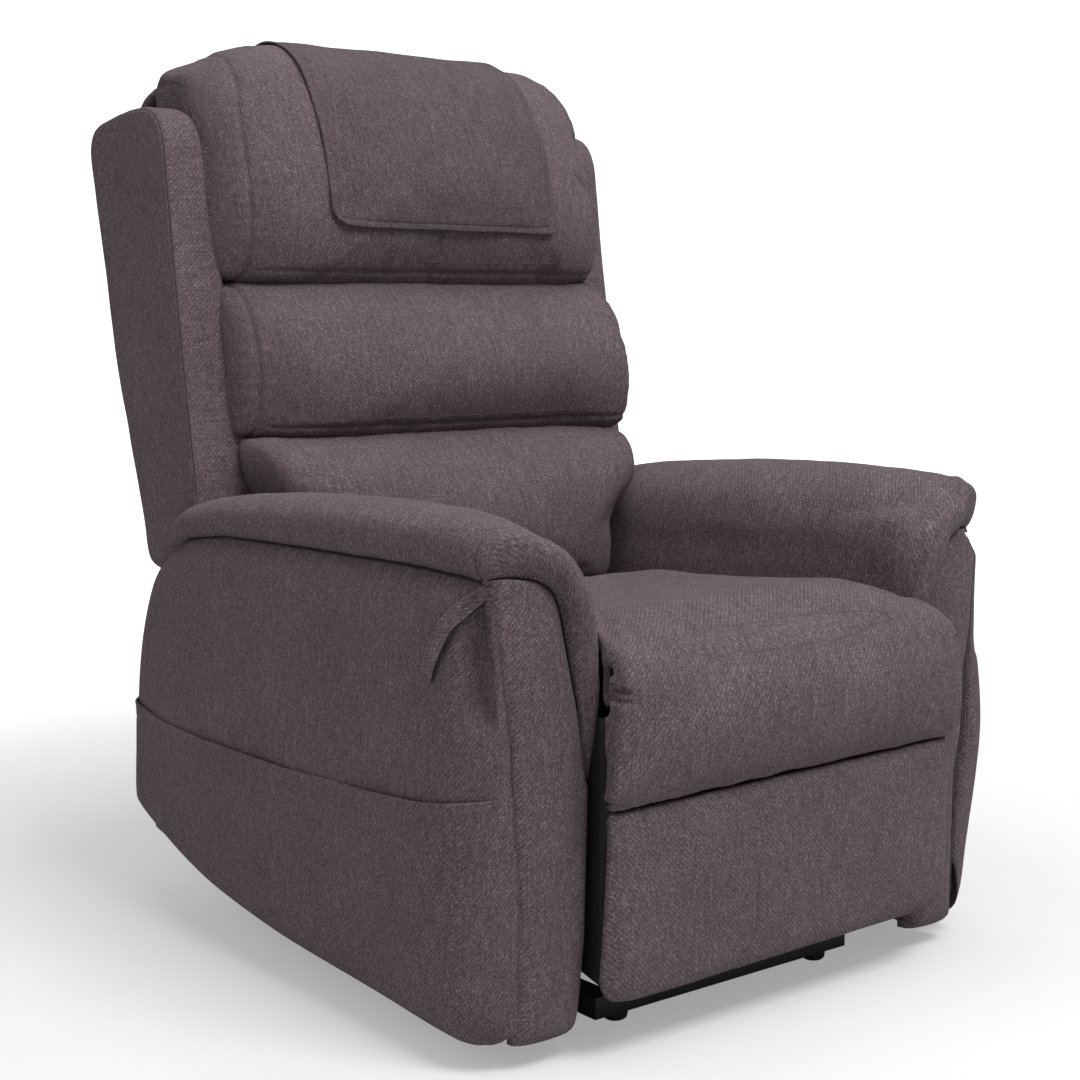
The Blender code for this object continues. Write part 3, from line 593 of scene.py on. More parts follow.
CAD_LOOK = {
    STEEL: ["base_frame", "lift_frame", "chassis_plate_left", "chassis_plate_right",
            "back_hinge_frame", "legrest_torque_tube"],
    ZINC: ["guide_link_left", "guide_link_right", "seat_spring_1", "seat_spring_2",
           "seat_spring_3", "legrest_link_left", "legrest_link_right"],
    ROD: ["lift_rod", "leg_rod", "back_rod"],
    TIMBER: ["seat_frame", "arm_frame_left", "arm_frame_right", "back_frame", "legrest_board"],
    PLASTIC: ["power_supply", "control_box", "handset_case", "lift_housing", "leg_housing",
              "back_housing", "arm_glide_front_left", "arm_glide_front_right",
              "arm_glide_rear_left", "arm_glide_rear_right"],
    RUBBER: ["base_foot_front_left", "base_foot_front_right", "base_foot_rear_left",
             "base_foot_rear_right"],
    KEYS: ["handset_key_rise", "handset_key_lower", "handset_key_recline",
           "handset_key_upright"],
    LINING: ["rear_panel"],
}
for look, names in CAD_LOOK.items():
    for name in names:
        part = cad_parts[name]
        for slot in part.material_slots:
            slot.material = look
        if not part.material_slots:
            part.data.materials.append(look)

# ---------------------------------------------------------------- seam lines of painted shade, thread lines and stitches
LINES = {}  # (kind, body) -> list of (points, faces)


def tube(path, radius, sides):
    """Thin rod along a path, narrowed at its two ends."""
    tangent = tangents(path)
    reference = np.where(np.abs(tangent[:, 2:3]) < 0.9, arr([[0, 0, 1.0]]), arr([[1.0, 0, 0]]))
    first = unit(np.cross(tangent, reference))
    second = np.cross(tangent, first)
    angle = np.arange(sides) * 2 * math.pi / sides
    radii = np.full(len(path), radius)
    radii[0] = radii[-1] = radius * 0.35
    grid = path[:, None] + radii[:, None, None] * (
        first[:, None] * np.cos(angle)[None, :, None]
        + second[:, None] * np.sin(angle)[None, :, None])
    faces = grid_faces(len(path), sides, wrap=True).tolist()
    faces.append(list(range(sides)))
    faces.append([(len(path) - 1) * sides + i for i in range(sides)][::-1])
    return grid.reshape(-1, 3), faces


def line(kind, body, path, radius):
    LINES.setdefault((kind, body), []).append(tube(path, radius, sides=6))


def stitches(body, path, pitch, length, radius):
    arc = arc_length(path)
    offsets = length * arr([-0.5, -0.25, 0.25, 0.5])
    for middle in np.arange(pitch, arc[-1] - pitch, pitch):
        stitch = np.stack([np.interp(middle + offsets, arc, path[:, i]) for i in range(3)], 1)
        LINES.setdefault(("thread", body), []).append(tube(stitch, radius, sides=5))


def surface_of(ob):
    ob.data.calc_loop_triangles()
    triangles = [tuple(t.vertices) for t in ob.data.loop_triangles]
    return BVHTree.FromPolygons([tuple(v.co) for v in ob.data.vertices], triangles)


def onto(surface, points, lift):
    """Points dropped on the nearest surface and lifted along its normal, in the frame."""
    landed = []
    for point in points + SHIFT:
        hit, normal, _, _ = surface.find_nearest(Vector(point))
        landed.append(tuple(hit + normal * lift))
    return arr(landed)


def even(path, window):
    """Runs a moving average along a line."""
    half = window // 2
    padded = np.vstack([np.repeat(path[:1], half, 0), path, np.repeat(path[-1:], half, 0)])
    kernel = np.full(window, 1 / window)
    return np.stack([np.convolve(padded[:, k], kernel, "valid") for k in range(3)], 1)


# ---------------------------------------------------------------- cushion solids
def profile_piece(name, profile, centre, stations, droop=0.0):
    """Solid across the chair; stations are (x, how much of its depth the profile keeps)."""
    centre = arr(centre)
    depth, height = profile.T
    rings = []
    for x, keep in stations:
        factors = np.column_stack([np.where(depth > centre[0], 1 - (1 - keep) * 0.3, keep),
                                   np.full(len(profile), 1 - (1 - keep) * 0.22)])
        ring = centre + (profile - centre) * factors
        # the upper corners sag towards the ends, less so at the rear
        ring[:, 1] -= (droop * max(0.0, (abs(x) - 0.150) / 0.15) ** 2.2
                       * ease((ring[:, 1] - centre[1]) / (height.max() - centre[1]))
                       * (1 - 0.85 * ease((depth - 0.795) / 0.05)))
        rings.append(np.column_stack([np.full(len(profile), x), ring]))
    return ring_piece(name, rings)


# lumbar cushion, by height: (z, front y), (z, rear y), (z, half width)
LUMBAR_FRONT = [(0.412, 0.520), (0.425, 0.507), (0.470, 0.502), (0.530, 0.506), (0.580, 0.518),
                (0.604, 0.532), (0.618, 0.546), (0.627, 0.562), (0.632, 0.585), (0.634, 0.620)]
LUMBAR_REAR = [(0.412, 0.640), (0.440, 0.655), (0.634, 0.690)]
LUMBAR_HALF = [(0.412, 0.228), (0.440, 0.237), (0.500, 0.2420), (0.525, 0.2540), (0.545, 0.2720),
               (0.560, 0.2860), (0.575, 0.2940), (0.600, 0.2990), (0.620, 0.3000), (0.634, 0.2930)]


def lumbar_solid():
    """Stacked rounded rectangles; it widens upwards as the arm pads fall away from it."""
    count, squareness = 120, 0.34
    angle = np.linspace(0, 2 * math.pi, count, endpoint=False)
    wide = np.sign(np.cos(angle)) * np.abs(np.cos(angle)) ** squareness
    deep = np.sign(np.sin(angle)) * np.abs(np.sin(angle)) ** squareness
    rings = []
    for z in np.concatenate([np.linspace(0.412, 0.600, 20), np.linspace(0.606, 0.634, 7)]):
        front, rear = table(z, LUMBAR_FRONT), table(z, LUMBAR_REAR)
        y = (front + rear) / 2 + deep * (rear - front) / 2
        rings.append(np.column_stack([wide * table(z, LUMBAR_HALF), y, np.full(count, z)]))
    return ring_piece("lumbar_part", rings)


# side views (y, z), and stations (x, depth kept)
LUMBAR = [(0.520, 0.412), (0.503, 0.440), (0.500, 0.470), (0.504, 0.530), (0.517, 0.580),
          (0.538, 0.611), (0.570, 0.630), (0.620, 0.634), (0.690, 0.634), (0.690, 0.560),
          (0.664, 0.440), (0.640, 0.412)]
MIDDLE = [(0.600, 0.630), (0.577, 0.640), (0.566, 0.666), (0.563, 0.702), (0.570, 0.744),
          (0.588, 0.785), (0.612, 0.813), (0.645, 0.834), (0.700, 0.843), (0.746, 0.840),
          (0.738, 0.770), (0.712, 0.670), (0.698, 0.634), (0.650, 0.628)]
MIDDLE_STATIONS = [(-0.301, 0.46), (-0.297, 0.53), (-0.287, 0.62), (-0.272, 0.71), (-0.248, 0.83),
                   (-0.215, 0.93), (-0.160, 0.99), (0.0, 1.0), (0.180, 1.0), (0.250, 1.03),
                   (0.280, 1.03), (0.297, 0.98), (0.309, 0.88)]
HEAD = [(0.655, 0.832), (0.628, 0.840), (0.612, 0.866), (0.606, 0.905), (0.611, 0.958),
        (0.630, 1.022), (0.660, 1.084), (0.694, 1.127), (0.738, 1.152), (0.785, 1.156),
        (0.820, 1.146), (0.848, 1.128), (0.864, 1.104), (0.860, 1.084), (0.838, 1.066),
        (0.800, 1.020), (0.760, 0.870), (0.742, 0.834), (0.700, 0.829)]
HEAD_STATIONS = [(-0.307, 0.50), (-0.299, 0.60), (-0.288, 0.69), (-0.272, 0.78), (-0.248, 0.88),
                 (-0.215, 0.95), (-0.160, 0.99), (0.0, 1.0), (0.170, 1.0), (0.240, 0.975),
                 (0.274, 0.925), (0.291, 0.86), (0.301, 0.76)]
LUMBAR_PATH, MIDDLE_PATH, HEAD_PATH = [curve(p, 150, closed=True) for p in (LUMBAR, MIDDLE, HEAD)]

lumbar = merged("lumbar_cushion_soft", [lumbar_solid()])
rest = coords(lumbar) - SHIFT
puff(lumbar, cap=0.016, pressure=3.6, pinned=rest[:, 1] > 0.640)

middle = merged("middle_cushion_soft", [
    profile_piece("middle_part", MIDDLE_PATH, (0.730, 0.728), MIDDLE_STATIONS)])
rest = coords(middle) - SHIFT
puff(middle, cap=0.018, pressure=4.0,
     pinned=rest[:, 1] > 0.672 + BACK_SLOPE * (rest[:, 2] - 0.64))

head = merged("head_cushion_soft", [
    profile_piece("head_part", HEAD_PATH, (0.800, 0.965), HEAD_STATIONS, droop=0.027)])
rest = coords(head) - SHIFT
puff(head, cap=0.018, pressure=4.0,
     pinned=rest[:, 1] > 0.725 + BACK_SLOPE * (rest[:, 2] - 0.84))

# seat, front roll and upper leg pad in one soft piece, side view (y, z);
# its underside leaves it thin towards the front
CHAISE_TOP = [(0.492, 0.418), (0.480, 0.428), (0.440, 0.436), (0.360, 0.438), (0.260, 0.4415),
              (0.160, 0.4490), (0.090, 0.4560), (0.030, 0.4625), (-0.008, 0.4625),
              (-0.030, 0.4580), (-0.048, 0.4475), (-0.060, 0.4310), (-0.0660, 0.4080),
              (-0.0670, 0.3750), (-0.0650, 0.3400), (-0.0620, 0.3080), (-0.0520, 0.2900)]
CHAISE_UNDER = [(-0.040, 0.288), (-0.037, 0.300), (-0.037, 0.420), (-0.032, 0.438),
                (0.000, 0.443), (0.060, 0.438), (0.130, 0.420), (0.190, 0.392), (0.230, 0.388),
                (0.480, 0.390), (0.490, 0.400)]
CHAISE_PATH = np.vstack([curve(CHAISE_TOP, 150), curve(CHAISE_UNDER, 110)])
SEAT_HALF, ROLL_HALF = 0.238, 0.272
# half width of the roll by height (z, x) on the sitter's right and left
ROLL_RIGHT = [(0.28, 0.266), (0.31, 0.265), (0.34, 0.262), (0.365, 0.260), (0.39, 0.258),
              (0.41, 0.256), (0.43, 0.252), (0.45, 0.248), (0.47, 0.247)]
ROLL_LEFT = [(0.28, 0.286), (0.34, 0.287), (0.40, 0.284), (0.44, 0.270), (0.465, 0.252)]


def cross_piece(name, y_low, y_high, half, ends):
    """Part of the chaise between two depths; ends are (distance from the end, scale)."""
    outline = CHAISE_PATH.copy()
    outline[:, 0] = np.clip(outline[:, 0], y_low, y_high)
    centre = outline.mean(0)
    stations = [(-half + d, f) for d, f in ends] + [(half - d, f) for d, f in reversed(ends)]
    return ring_piece(name, [
        np.column_stack([np.full(len(outline), x), centre + (outline - centre) * f])
        for x, f in stations])


def front_roll():
    ob = cross_piece("roll_part", -1.0, -0.014, ROLL_HALF,
                     [(0.0, 0.95), (0.003, 0.975), (0.009, 0.995), (0.020, 1.0), (0.040, 1.0),
                      (0.070, 1.0)])
    points = coords(ob)
    x, y, z = points.T.copy()
    right = table(z, ROLL_RIGHT)
    # the right end narrows behind its front face; y is in the frame here
    right = right - 0.021 * ease((y + 0.058) / 0.030) * ease((0.460 - z) / 0.025)
    wanted = np.where(x < 0, right, table(z, ROLL_LEFT))
    x *= 1 + (wanted / ROLL_HALF - 1) * ease((np.abs(x) - 0.10) / 0.17)
    # the top falls away at both ends
    end = np.maximum(0, np.abs(x) - 0.205) / 0.067
    z -= 0.009 * np.minimum(end, 1.1) ** 2.5 * ease((z - 0.40) / 0.05)
    set_coords(ob, np.column_stack([x, y, z]))
    return ob


seat_part = cross_piece("seat_part", -0.030, 1.0, SEAT_HALF, [(0.0, 0.985), (0.008, 1.0)])
chaise = merged("seat_and_leg_cushion", [seat_part, front_roll()])
_, y, z = (coords(chaise) - SHIFT).T
underside = (y > -0.045) & (z < np.interp(y, [-0.04, -0.03, 0.06, 0.2, 0.49],
                                          [0.42, 0.441, 0.4395, 0.395, 0.396]))
roll_rear = (y > -0.0415) & (z < 0.43)
puff(chaise, cap=0.014, pressure=3.2, pinned=underside | roll_rear, stiff=14.0, bend=0.8)

run_sims()

# ---------------------------------------------------------------- finish the cushions
NO_SEAM = 1.0  # distance given to points a seam does not reach
PUCKER_PITCH = 0.017


def side_seam(seam_x, on_front):
    """Upright seam near both ends; seams give distance, place along, depth and width."""
    def seam(points):
        gap = np.abs(np.abs(points[:, 0]) - seam_x(points[:, 2]))
        return np.where(on_front(points), gap, NO_SEAM), points[:, 2], 0.0030, 0.0030
    return seam


def low_seam(height, y_max):
    def seam(points):
        gap = np.abs(points[:, 2] - height)
        return np.where(points[:, 1] < y_max, gap, NO_SEAM), points[:, 0], 0.0022, 0.0028
    return seam


def roll_seam(points):
    x, y, z = points.T
    gap = np.abs(np.abs(x) - np.where(x < 0, 0.250, 0.276))
    return np.where((y < -0.046) & (z < 0.400), gap, NO_SEAM), z, 0.0012, 0.0030


def finish_cushion(ob, path, seams, seed, wrinkle=0.0009):
    """Evens the simulated mesh, adds wrinkles, seams and the weave; path is the side view."""
    relax(ob, times=3, factor=0.4)
    refine(ob)
    points = coords(ob) - SHIFT
    off, along = line_distance(points[:, 1:], np.vstack([path, path[:1]]))
    x = points[:, 0]
    flat = np.column_stack([x, along, np.zeros(len(x))])
    amount = (wrinkle * waves(flat, 9.0, seed, (1.6, 0.45, 1))
              + 0.5 * wrinkle * waves(flat, 26.0, seed + 5, (1.5, 0.4, 1)))
    for seam in seams:
        gap, run, depth, width = seam(points)
        pucker = 0.5 + 0.5 * np.sin(run * 2 * math.pi / PUCKER_PITCH + 2.0 * np.sin(run * 61.0))
        amount -= depth * bell(gap, width)
        amount += 0.30 * depth * bell(np.abs(gap) - 3.0 * width, 2.2 * width) * pucker
    displace(ob, points + SHIFT, amount)
    # on the end faces the cloth runs on inwards from the rim
    turned = np.sign(x) * np.maximum(0, off - 0.004) * ease((np.abs(x) - 0.15) / 0.06)
    set_weave(ob.data, np.column_stack([x + turned, along]))
    ob.data.shade_smooth()
    ob.data.materials.clear()
    ob.data.materials.append(FABRIC)


finish_cushion(head, HEAD_PATH, [
    side_seam(lambda z: 0.276 - 0.014 * ease((z - 1.02) / 0.12), lambda p: p[:, 1] < 0.80),
    low_seam(height=0.8500, y_max=0.66)], seed=3)
finish_cushion(middle, MIDDLE_PATH, [
    side_seam(lambda z: 0.284, lambda p: p[:, 1] < 0.70),
    low_seam(height=0.6480, y_max=0.62)], seed=17)
finish_cushion(lumbar, LUMBAR_PATH, [
    side_seam(lambda z: 0.262, lambda p: (p[:, 1] < 0.60) & (p[:, 2] > 0.60))],
    seed=29, wrinkle=0.0013)
place(head, "fabric", "back", "head_cushion")
place(middle, "fabric", "back", "middle_cushion")
place(lumbar, "fabric", "back", "lumbar_cushion")
head_surface, middle_surface = surface_of(head), surface_of(middle)

# threads lie slightly sunk in the cloth
THREAD_LIFT, THREAD_RADIUS = -0.0003, 0.0006


def upright_thread(surface, x, z_low, z_high, count, depths, back=0.0):
    """Depths are (z, y), moved back by a constant."""
    z = np.linspace(z_low, z_high, count)
    path = np.column_stack([np.full(count, x), table(z, depths) + back, z])
    line("thread", "back", even(onto(surface, path, THREAD_LIFT), 9), THREAD_RADIUS)


def level_thread(surface, height, y, half):
    x = np.linspace(-half, half, 120)
    path = np.column_stack([x, np.full(120, y), np.full(120, height)])
    line("thread", "back", even(onto(surface, path, THREAD_LIFT), 7), THREAD_RADIUS)


for sign in (-1, 1):
    upright_thread(head_surface, sign * 0.280, 0.848, 1.085, 60,
                   [(0.832, 0.650), (0.89, 0.664), (0.954, 0.675), (1.006, 0.693),
                    (1.039, 0.715), (1.079, 0.738)])
    upright_thread(middle_surface, sign * 0.288, 0.640, 0.812, 40,
                   [(0.635, 0.591), (0.71, 0.621), (0.761, 0.640), (0.813, 0.669)], back=0.004)
level_thread(head_surface, height=0.8500, y=0.60, half=0.272)
level_thread(middle_surface, height=0.6480, y=0.56, half=0.268)


def hang(x):
    """Height change of the soft front across the chair."""
    return -0.0085 + 0.0040 * np.clip(x / 0.27, -1, 1)


def finish_chaise():
    finish_cushion(chaise, CHAISE_PATH, [roll_seam], seed=41, wrinkle=0.0011)
    points = coords(chaise) - SHIFT
    x, y, _ = points.T
    amount = np.zeros(len(points))
    # tucks at the ends of the roll: z, width, depth
    for sign, end in ((-1, 0.266), (1, 0.286)):
        for height, width, depth in ((0.411, 0.0030, 0.009), (0.402, 0.0026, 0.006),
                                     (0.301, 0.003, 0.006)):
            reach = ease(1 - (end - x * sign) / 0.034)
            slant = 0.20 * (x * sign - 0.276)
            amount -= depth * reach * bell(points[:, 2] - height - slant, width) * (y < -0.035)
    points[:, 2] += hang(x) * ease((0.400 - points[:, 2]) / 0.09) * (y < -0.030)
    # shallow crease across the right of the seat top
    amount -= (0.0016 * bell(y - 0.085 - 0.10 * x, 0.010) * (points[:, 2] > 0.43)
               * ease((x * -1 - 0.02) / 0.2))
    displace(chaise, points + SHIFT, amount)
    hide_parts("seat_cushion", "legrest_upper_pad")
    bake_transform(chaise)


finish_chaise()

# ---------------------------------------------------------------- lower leg pad
PAD_HALF, PAD_BOTTOM, PAD_TOP = 0.2775, 0.0780, 0.2865
PAD_CORNER = 0.034
PAD_SEAM_X = [(0.078, -0.082), (0.095, -0.062), (0.12, -0.053), (0.15, -0.051),
              (0.175, -0.053)]  # (z, x)


def leg_pad():
    a = np.linspace(-1, 1, pick(150))
    b = np.linspace(0, 1, pick(90))
    A, B = np.meshgrid(a, b, indexing="ij")
    z = PAD_BOTTOM + (PAD_TOP - PAD_BOTTOM) * B
    dip = PAD_BOTTOM + PAD_CORNER - z
    corner = np.where(z < PAD_BOTTOM + PAD_CORNER,
                      PAD_CORNER - np.sqrt(np.maximum(PAD_CORNER * PAD_CORNER - dip ** 2, 0)), 0)
    width = PAD_HALF - corner - 0.0025 * (1 - B) - 0.002 * np.sin(B * math.pi)
    x = A * width
    side_gap = (width - np.abs(x))
    low_gap = np.minimum(z - PAD_BOTTOM, 0.05)
    top_gap = PAD_TOP - z
    # padding thins towards the sides, the bottom and the top
    thick = 0.0170 * (1 - np.exp(-side_gap / 0.010)) ** 0.8
    thick *= 1 - 0.55 * np.exp(-low_gap / 0.010)
    thick -= 0.0075 * np.exp(-top_gap / 0.010)
    crown = 0.004 * (1 - A**2) * np.sin(np.clip(B, 0, 1) * math.pi)
    wrinkle = 0.0010 * waves(np.stack([x, z, np.zeros_like(x)], 2), 8.0, 77, (1.8, 0.5, 1))
    # two pleats by the top right corner, and a seam in the lower half
    pleat = 0.0045 * bell(x + 0.235 + 0.12 * top_gap, 0.006) * ease(1 - top_gap / 0.03)
    pleat += 0.0030 * bell(x + 0.200 + 0.2 * top_gap, 0.008) * ease(1 - top_gap / 0.03)
    seam = 0.0022 * bell(x - table(z, PAD_SEAM_X), 0.0028) * ease((0.185 - z) / 0.02)
    y = -0.0385 - thick - crown - wrinkle * (1 - np.exp(-side_gap / 0.02)) + pleat + seam
    z = z + hang(x)
    x = np.where(x > 0, x * 1.040, x * (1 - 0.062 * B - 0.012))
    outer = np.stack([x, y, z], 2)
    inner = np.stack([x * 0.985, np.full_like(x, -0.0364), z * 0.998 + 0.0004], 2)
    ob = slab("lower_leg_cushion", outer, inner, np.stack([x, z], 2), FABRIC)
    place(ob, "fabric", "legrest", "legrest_lower_pad")
    # near-black line of painted shade in the seam groove of the lower half
    z = np.linspace(0.082, 0.180, 40)
    path = np.column_stack([table(z, PAD_SEAM_X), np.full(40, -0.08), z])
    line("seam", "legrest", onto(surface_of(ob), path, -0.0002), 0.0005)


leg_pad()

# ---------------------------------------------------------------- headrest cover
COVER_HALF = 0.1810
COVER_HEM = 0.0105
COVER_CENTRE = (0.735, 1.0)  # (y, z) inside the head cushion, seen from which the cloth is laid
COVER_SIDE = [(0.596, 0.9015), (0.602, 0.955), (0.620, 1.010), (0.650, 1.070), (0.690, 1.120),
              (0.735, 1.150), (0.785, 1.155), (0.822, 1.135), (0.836, 1.108)]  # (y, z)


def cover():
    rows, cols = pick((130, 170))
    path = curve(COVER_SIDE, cols)
    centre = arr(COVER_CENTRE)
    xs = np.linspace(-COVER_HALF, COVER_HALF, rows)
    cloth = np.zeros((rows, cols, 3))
    for i, x in enumerate(xs):
        for j, (y, z) in enumerate(path):
            ray = arr((y, z)) - centre
            ray /= np.linalg.norm(ray)
            origin = Vector((x, centre[0] + FRONT_Y + ray[0] * 0.4, centre[1] + ray[1] * 0.4))
            hit = head_surface.ray_cast(origin, Vector((0, -ray[0], -ray[1])), 0.4)[0]
            if hit is None:
                hit = head_surface.find_nearest(Vector((x, y + FRONT_Y, z)))[0]
            cloth[i, j] = arr(tuple(hit)) - SHIFT
    for _ in range(14):  # the cloth bridges the small hollows of the cushion
        cloth[:, 1:-1] = 0.5 * cloth[:, 1:-1] + 0.25 * (cloth[:, :-2] + cloth[:, 2:])
        cloth[1:-1] = 0.5 * cloth[1:-1] + 0.25 * (cloth[:-2] + cloth[2:])
    normal = facing_normals(cloth, rows // 2, cols // 4, axis=1, sign=-1)
    arc = arc_length(path)
    X, S = np.meshgrid(xs, arc, indexing="ij")
    edge = np.minimum(COVER_HALF - np.abs(X), np.minimum(S, arc[-1] - S))
    hem = ease(1 - edge / COVER_HEM)
    # lift: hem, creases, loose lower edge, wavy sides, stitched groove
    lift = (0.0034 + 0.0012 * hem
            + 0.0009 * waves(np.stack([X, S, 0 * X], 2), 8.0, 5, (1.4, 0.6, 1)))
    lift += 0.0040 * ease(1 - S / 0.035) * (0.6 + 0.4 * np.sin(X * 34.0 + 0.8))
    lift += 0.0010 * ease(1 - (COVER_HALF - np.abs(X)) / 0.02) * np.sin(S * 60.0)
    lift -= 0.0012 * bell(edge - COVER_HEM, 0.0016)
    outer = cloth + normal * lift[..., None]
    # softly rounded lower corner on the sitter's right
    corner = np.maximum(0, 1 - np.hypot(X + COVER_HALF, S) / 0.020)
    outer[..., 0] += 0.006 * corner
    outer[..., 2] += 0.006 * corner
    inner = outer - normal * (0.0019 + 0.0010 * hem)[..., None]
    ob = slab("headrest_cloth", outer, inner, np.stack([X, S], 2), COVER)
    place(ob, "fabric", "back", "headrest_cover")
    i0, i1 = np.searchsorted(xs, (-COVER_HALF + COVER_HEM, COVER_HALF - COVER_HEM))
    j0, j1 = np.searchsorted(arc, (COVER_HEM, arc[-1] - COVER_HEM))
    raised = outer + normal * 0.0003 + SHIFT
    border = np.vstack([raised[i0, j1:j0:-1], raised[i0:i1, j0], raised[i1, j0:j1]])
    stitches("back", border, pitch=0.0048, length=0.0034, radius=0.00045)


cover()

# ---------------------------------------------------------------- wings
# side view (y, z)
WING = [(0.640, 0.470), (0.652, 0.560), (0.678, 0.716), (0.701, 0.867), (0.716, 0.975),
        (0.724, 1.022), (0.740, 1.048), (0.768, 1.061), (0.820, 1.062), (0.880, 1.055),
        (0.912, 1.044), (0.927, 1.020), (0.920, 0.955), (0.901, 0.845), (0.877, 0.735),
        (0.842, 0.627), (0.806, 0.519), (0.787, 0.464), (0.715, 0.458)]
WING_CREASE = [(0.652, 0.560), (0.678, 0.716), (0.701, 0.867), (0.716, 0.975), (0.725, 1.026),
               (0.740, 1.049), (0.768, 1.062), (0.820, 1.063), (0.880, 1.056)]
WING_INNER_X, WING_OUTER_X = 0.3065, 0.3630
WING_INNER_ROUND, WING_OUTER_ROUND = 0.012, 0.009
WING_HOLLOW, WING_CROWN = 0.002, 0.0016
# how far the inner face moves inwards (z, distance)
WING_WIDER = [(0.44, 0.037), (0.60, 0.036), (0.70, 0.029), (0.80, 0.020), (0.90, 0.012),
              (1.00, 0.006), (1.06, 0.0)]


def wing_rings():
    """Rings and weave of a panel with rounded rims, from the inner face to the outer."""
    count = 260
    base = curve(WING, count, closed=True)
    centre = base.mean(0)
    arc = arc_length(base)
    x0, x1, r0, r1 = WING_INNER_X, WING_OUTER_X, WING_INNER_ROUND, WING_OUTER_ROUND
    fractions = (np.linspace(0.04, 1.0, 16) ** 0.75)[:-1]
    rim0, rim1 = inset(base, r0), inset(base, r1)
    stations = [(centre + (rim0 - centre) * f, x0 + WING_HOLLOW * (1 - f**2), True)
                for f in fractions]  # (outline, x, belongs to a face)
    stations += [(inset(base, r0 * (1 - math.sin(t))), x0 + r0 * (1 - math.cos(t)), t < 0.8)
                 for t in np.linspace(0, math.pi / 2, 6)]
    stations += [(base, x0 + r0 + (x1 - r1 - x0 - r0) * t, False)
                 for t in np.linspace(0.0, 1.0, 6)[1:-1]]
    stations += [(inset(base, r1 * (1 - math.sin(t))), x1 - r1 * (1 - math.cos(t)), t < 0.8)
                 for t in np.linspace(math.pi / 2, 0, 6)]
    stations += [(centre + (rim1 - centre) * f, x1 + WING_CROWN * (1 - f**2), True)
                 for f in fractions[::-1]]
    rings = [np.column_stack([np.full(count, x), outline]) for outline, x, _ in stations]
    weave = [outline if face else np.column_stack([arc, np.full(count, x)])
             for outline, x, face in stations]
    return rings, weave


def wing(side, sign):
    rings, weave = wing_rings()
    ob = ring_piece(f"wing_panel_{side}", [r * arr([sign, 1, 1]) for r in rings], weave, FABRIC)
    points = coords(ob)
    wider = table(points[:, 2], WING_WIDER)
    points[:, 0] -= sign * wider * ease((0.350 - np.abs(points[:, 0])) / 0.034)
    points[:, 1] += (0.010 * ease((points[:, 1] - FRONT_Y - 0.86) / 0.06)
                     * ease((points[:, 2] - 0.80) / 0.2))
    set_coords(ob, points)
    rim = np.abs(normals(ob)[:, 0]) < 0.70
    woven = read_vectors(ob.data.attributes["weave"].data, "vector")
    woven[rim, 1] = np.abs(points[rim, 0])
    set_weave(ob.data, woven)
    displace(ob, points, 0.0011 * waves(points, 5.0, 90 + sign, (1, 1.2, 0.5))
             + 0.0005 * waves(points, 15.0, 91 + sign, (1, 1.5, 0.6)))
    place(ob, "fabric", "back", f"wing_{side}")
    # near-black line of painted shade along the crease at the outer edge
    crease = np.column_stack([np.full(110, sign * 0.3640), curve(WING_CREASE, 110)])
    line("seam", "back", onto(surface_of(ob), crease, -0.0003), 0.0006)


for side, sign in SIDES:
    wing(side, sign)

# ---------------------------------------------------------------- back shell
SHELL_HALF = 0.3055
# side view (y, z): outer face upwards, inner face downwards
SHELL_OUTER = [(0.762, 0.372), (0.785, 0.450), (0.838, 0.620), (0.874, 0.728), (0.898, 0.838),
               (0.915, 0.945), (0.922, 1.010), (0.913, 1.052), (0.888, 1.084), (0.852, 1.099)]
SHELL_INNER = [(0.832, 1.088), (0.852, 1.084), (0.879, 1.061), (0.900, 1.005), (0.897, 0.948),
               (0.880, 0.842), (0.856, 0.733), (0.820, 0.626), (0.768, 0.455), (0.748, 0.374)]


def back_shell():
    count = 120
    profile = curve(SHELL_OUTER, count)
    xs = np.linspace(-SHELL_HALF, SHELL_HALF, 90)
    outer = across(xs, profile)
    inner = across(xs, curve(SHELL_INNER, count)[::-1])
    tangent = tangents(profile)
    normal = np.stack([tangent[:, 1], -tangent[:, 0]], 1)
    for i, x in enumerate(xs):
        crown = 1 - (x / SHELL_HALF) ** 2
        push = (0.006 * crown * np.sin(np.linspace(0, math.pi, count)) ** 0.5
                - 0.004 * np.exp(-(SHELL_HALF - abs(x)) / 0.008))
        outer[i, :, 1:] = profile + normal * push[:, None]
    arc = np.broadcast_to(arc_length(profile), outer.shape[:2])
    flat = np.stack([outer[..., 0], arc, 0 * outer[..., 0]], 2)
    outer[..., 1] += 0.001 * waves(flat, 5.0, 55, (1, 0.6, 1))
    place(slab("back_cover", outer, inner, flat[..., :2], FABRIC), "fabric", "back", "back_shell")


back_shell()

# ---------------------------------------------------------------- arms
# drawn for +x and mirrored for the sitter's right; side outline (y, z)
ARM_OUTLINE = [(0.004, 0.052), (0.012, 0.035), (0.032, 0.028), (0.230, 0.037), (0.420, 0.048),
               (0.560, 0.066), (0.670, 0.087), (0.792, 0.115), (0.817, 0.131), (0.823, 0.155),
               (0.816, 0.222), (0.809, 0.300), (0.796, 0.358), (0.774, 0.413), (0.745, 0.456),
               (0.700, 0.486), (0.633, 0.511), (0.539, 0.523), (0.406, 0.5265), (0.146, 0.5300),
               (0.017, 0.5270), (0.001, 0.5255), (0.000, 0.505), (0.000, 0.300), (0.000, 0.100)]
# the outline without its front edge
ARM_TUCK_PATH = curve(ARM_OUTLINE[1:22], 220)
ARM_CROWN_X = 0.3980
# seam at the outer front corner (z, x)
EDGE_SEAM = [(0.030, 0.350), (0.059, 0.348), (0.219, 0.347), (0.268, 0.352), (0.354, 0.355),
             (0.408, 0.365), (0.528, 0.3815)]
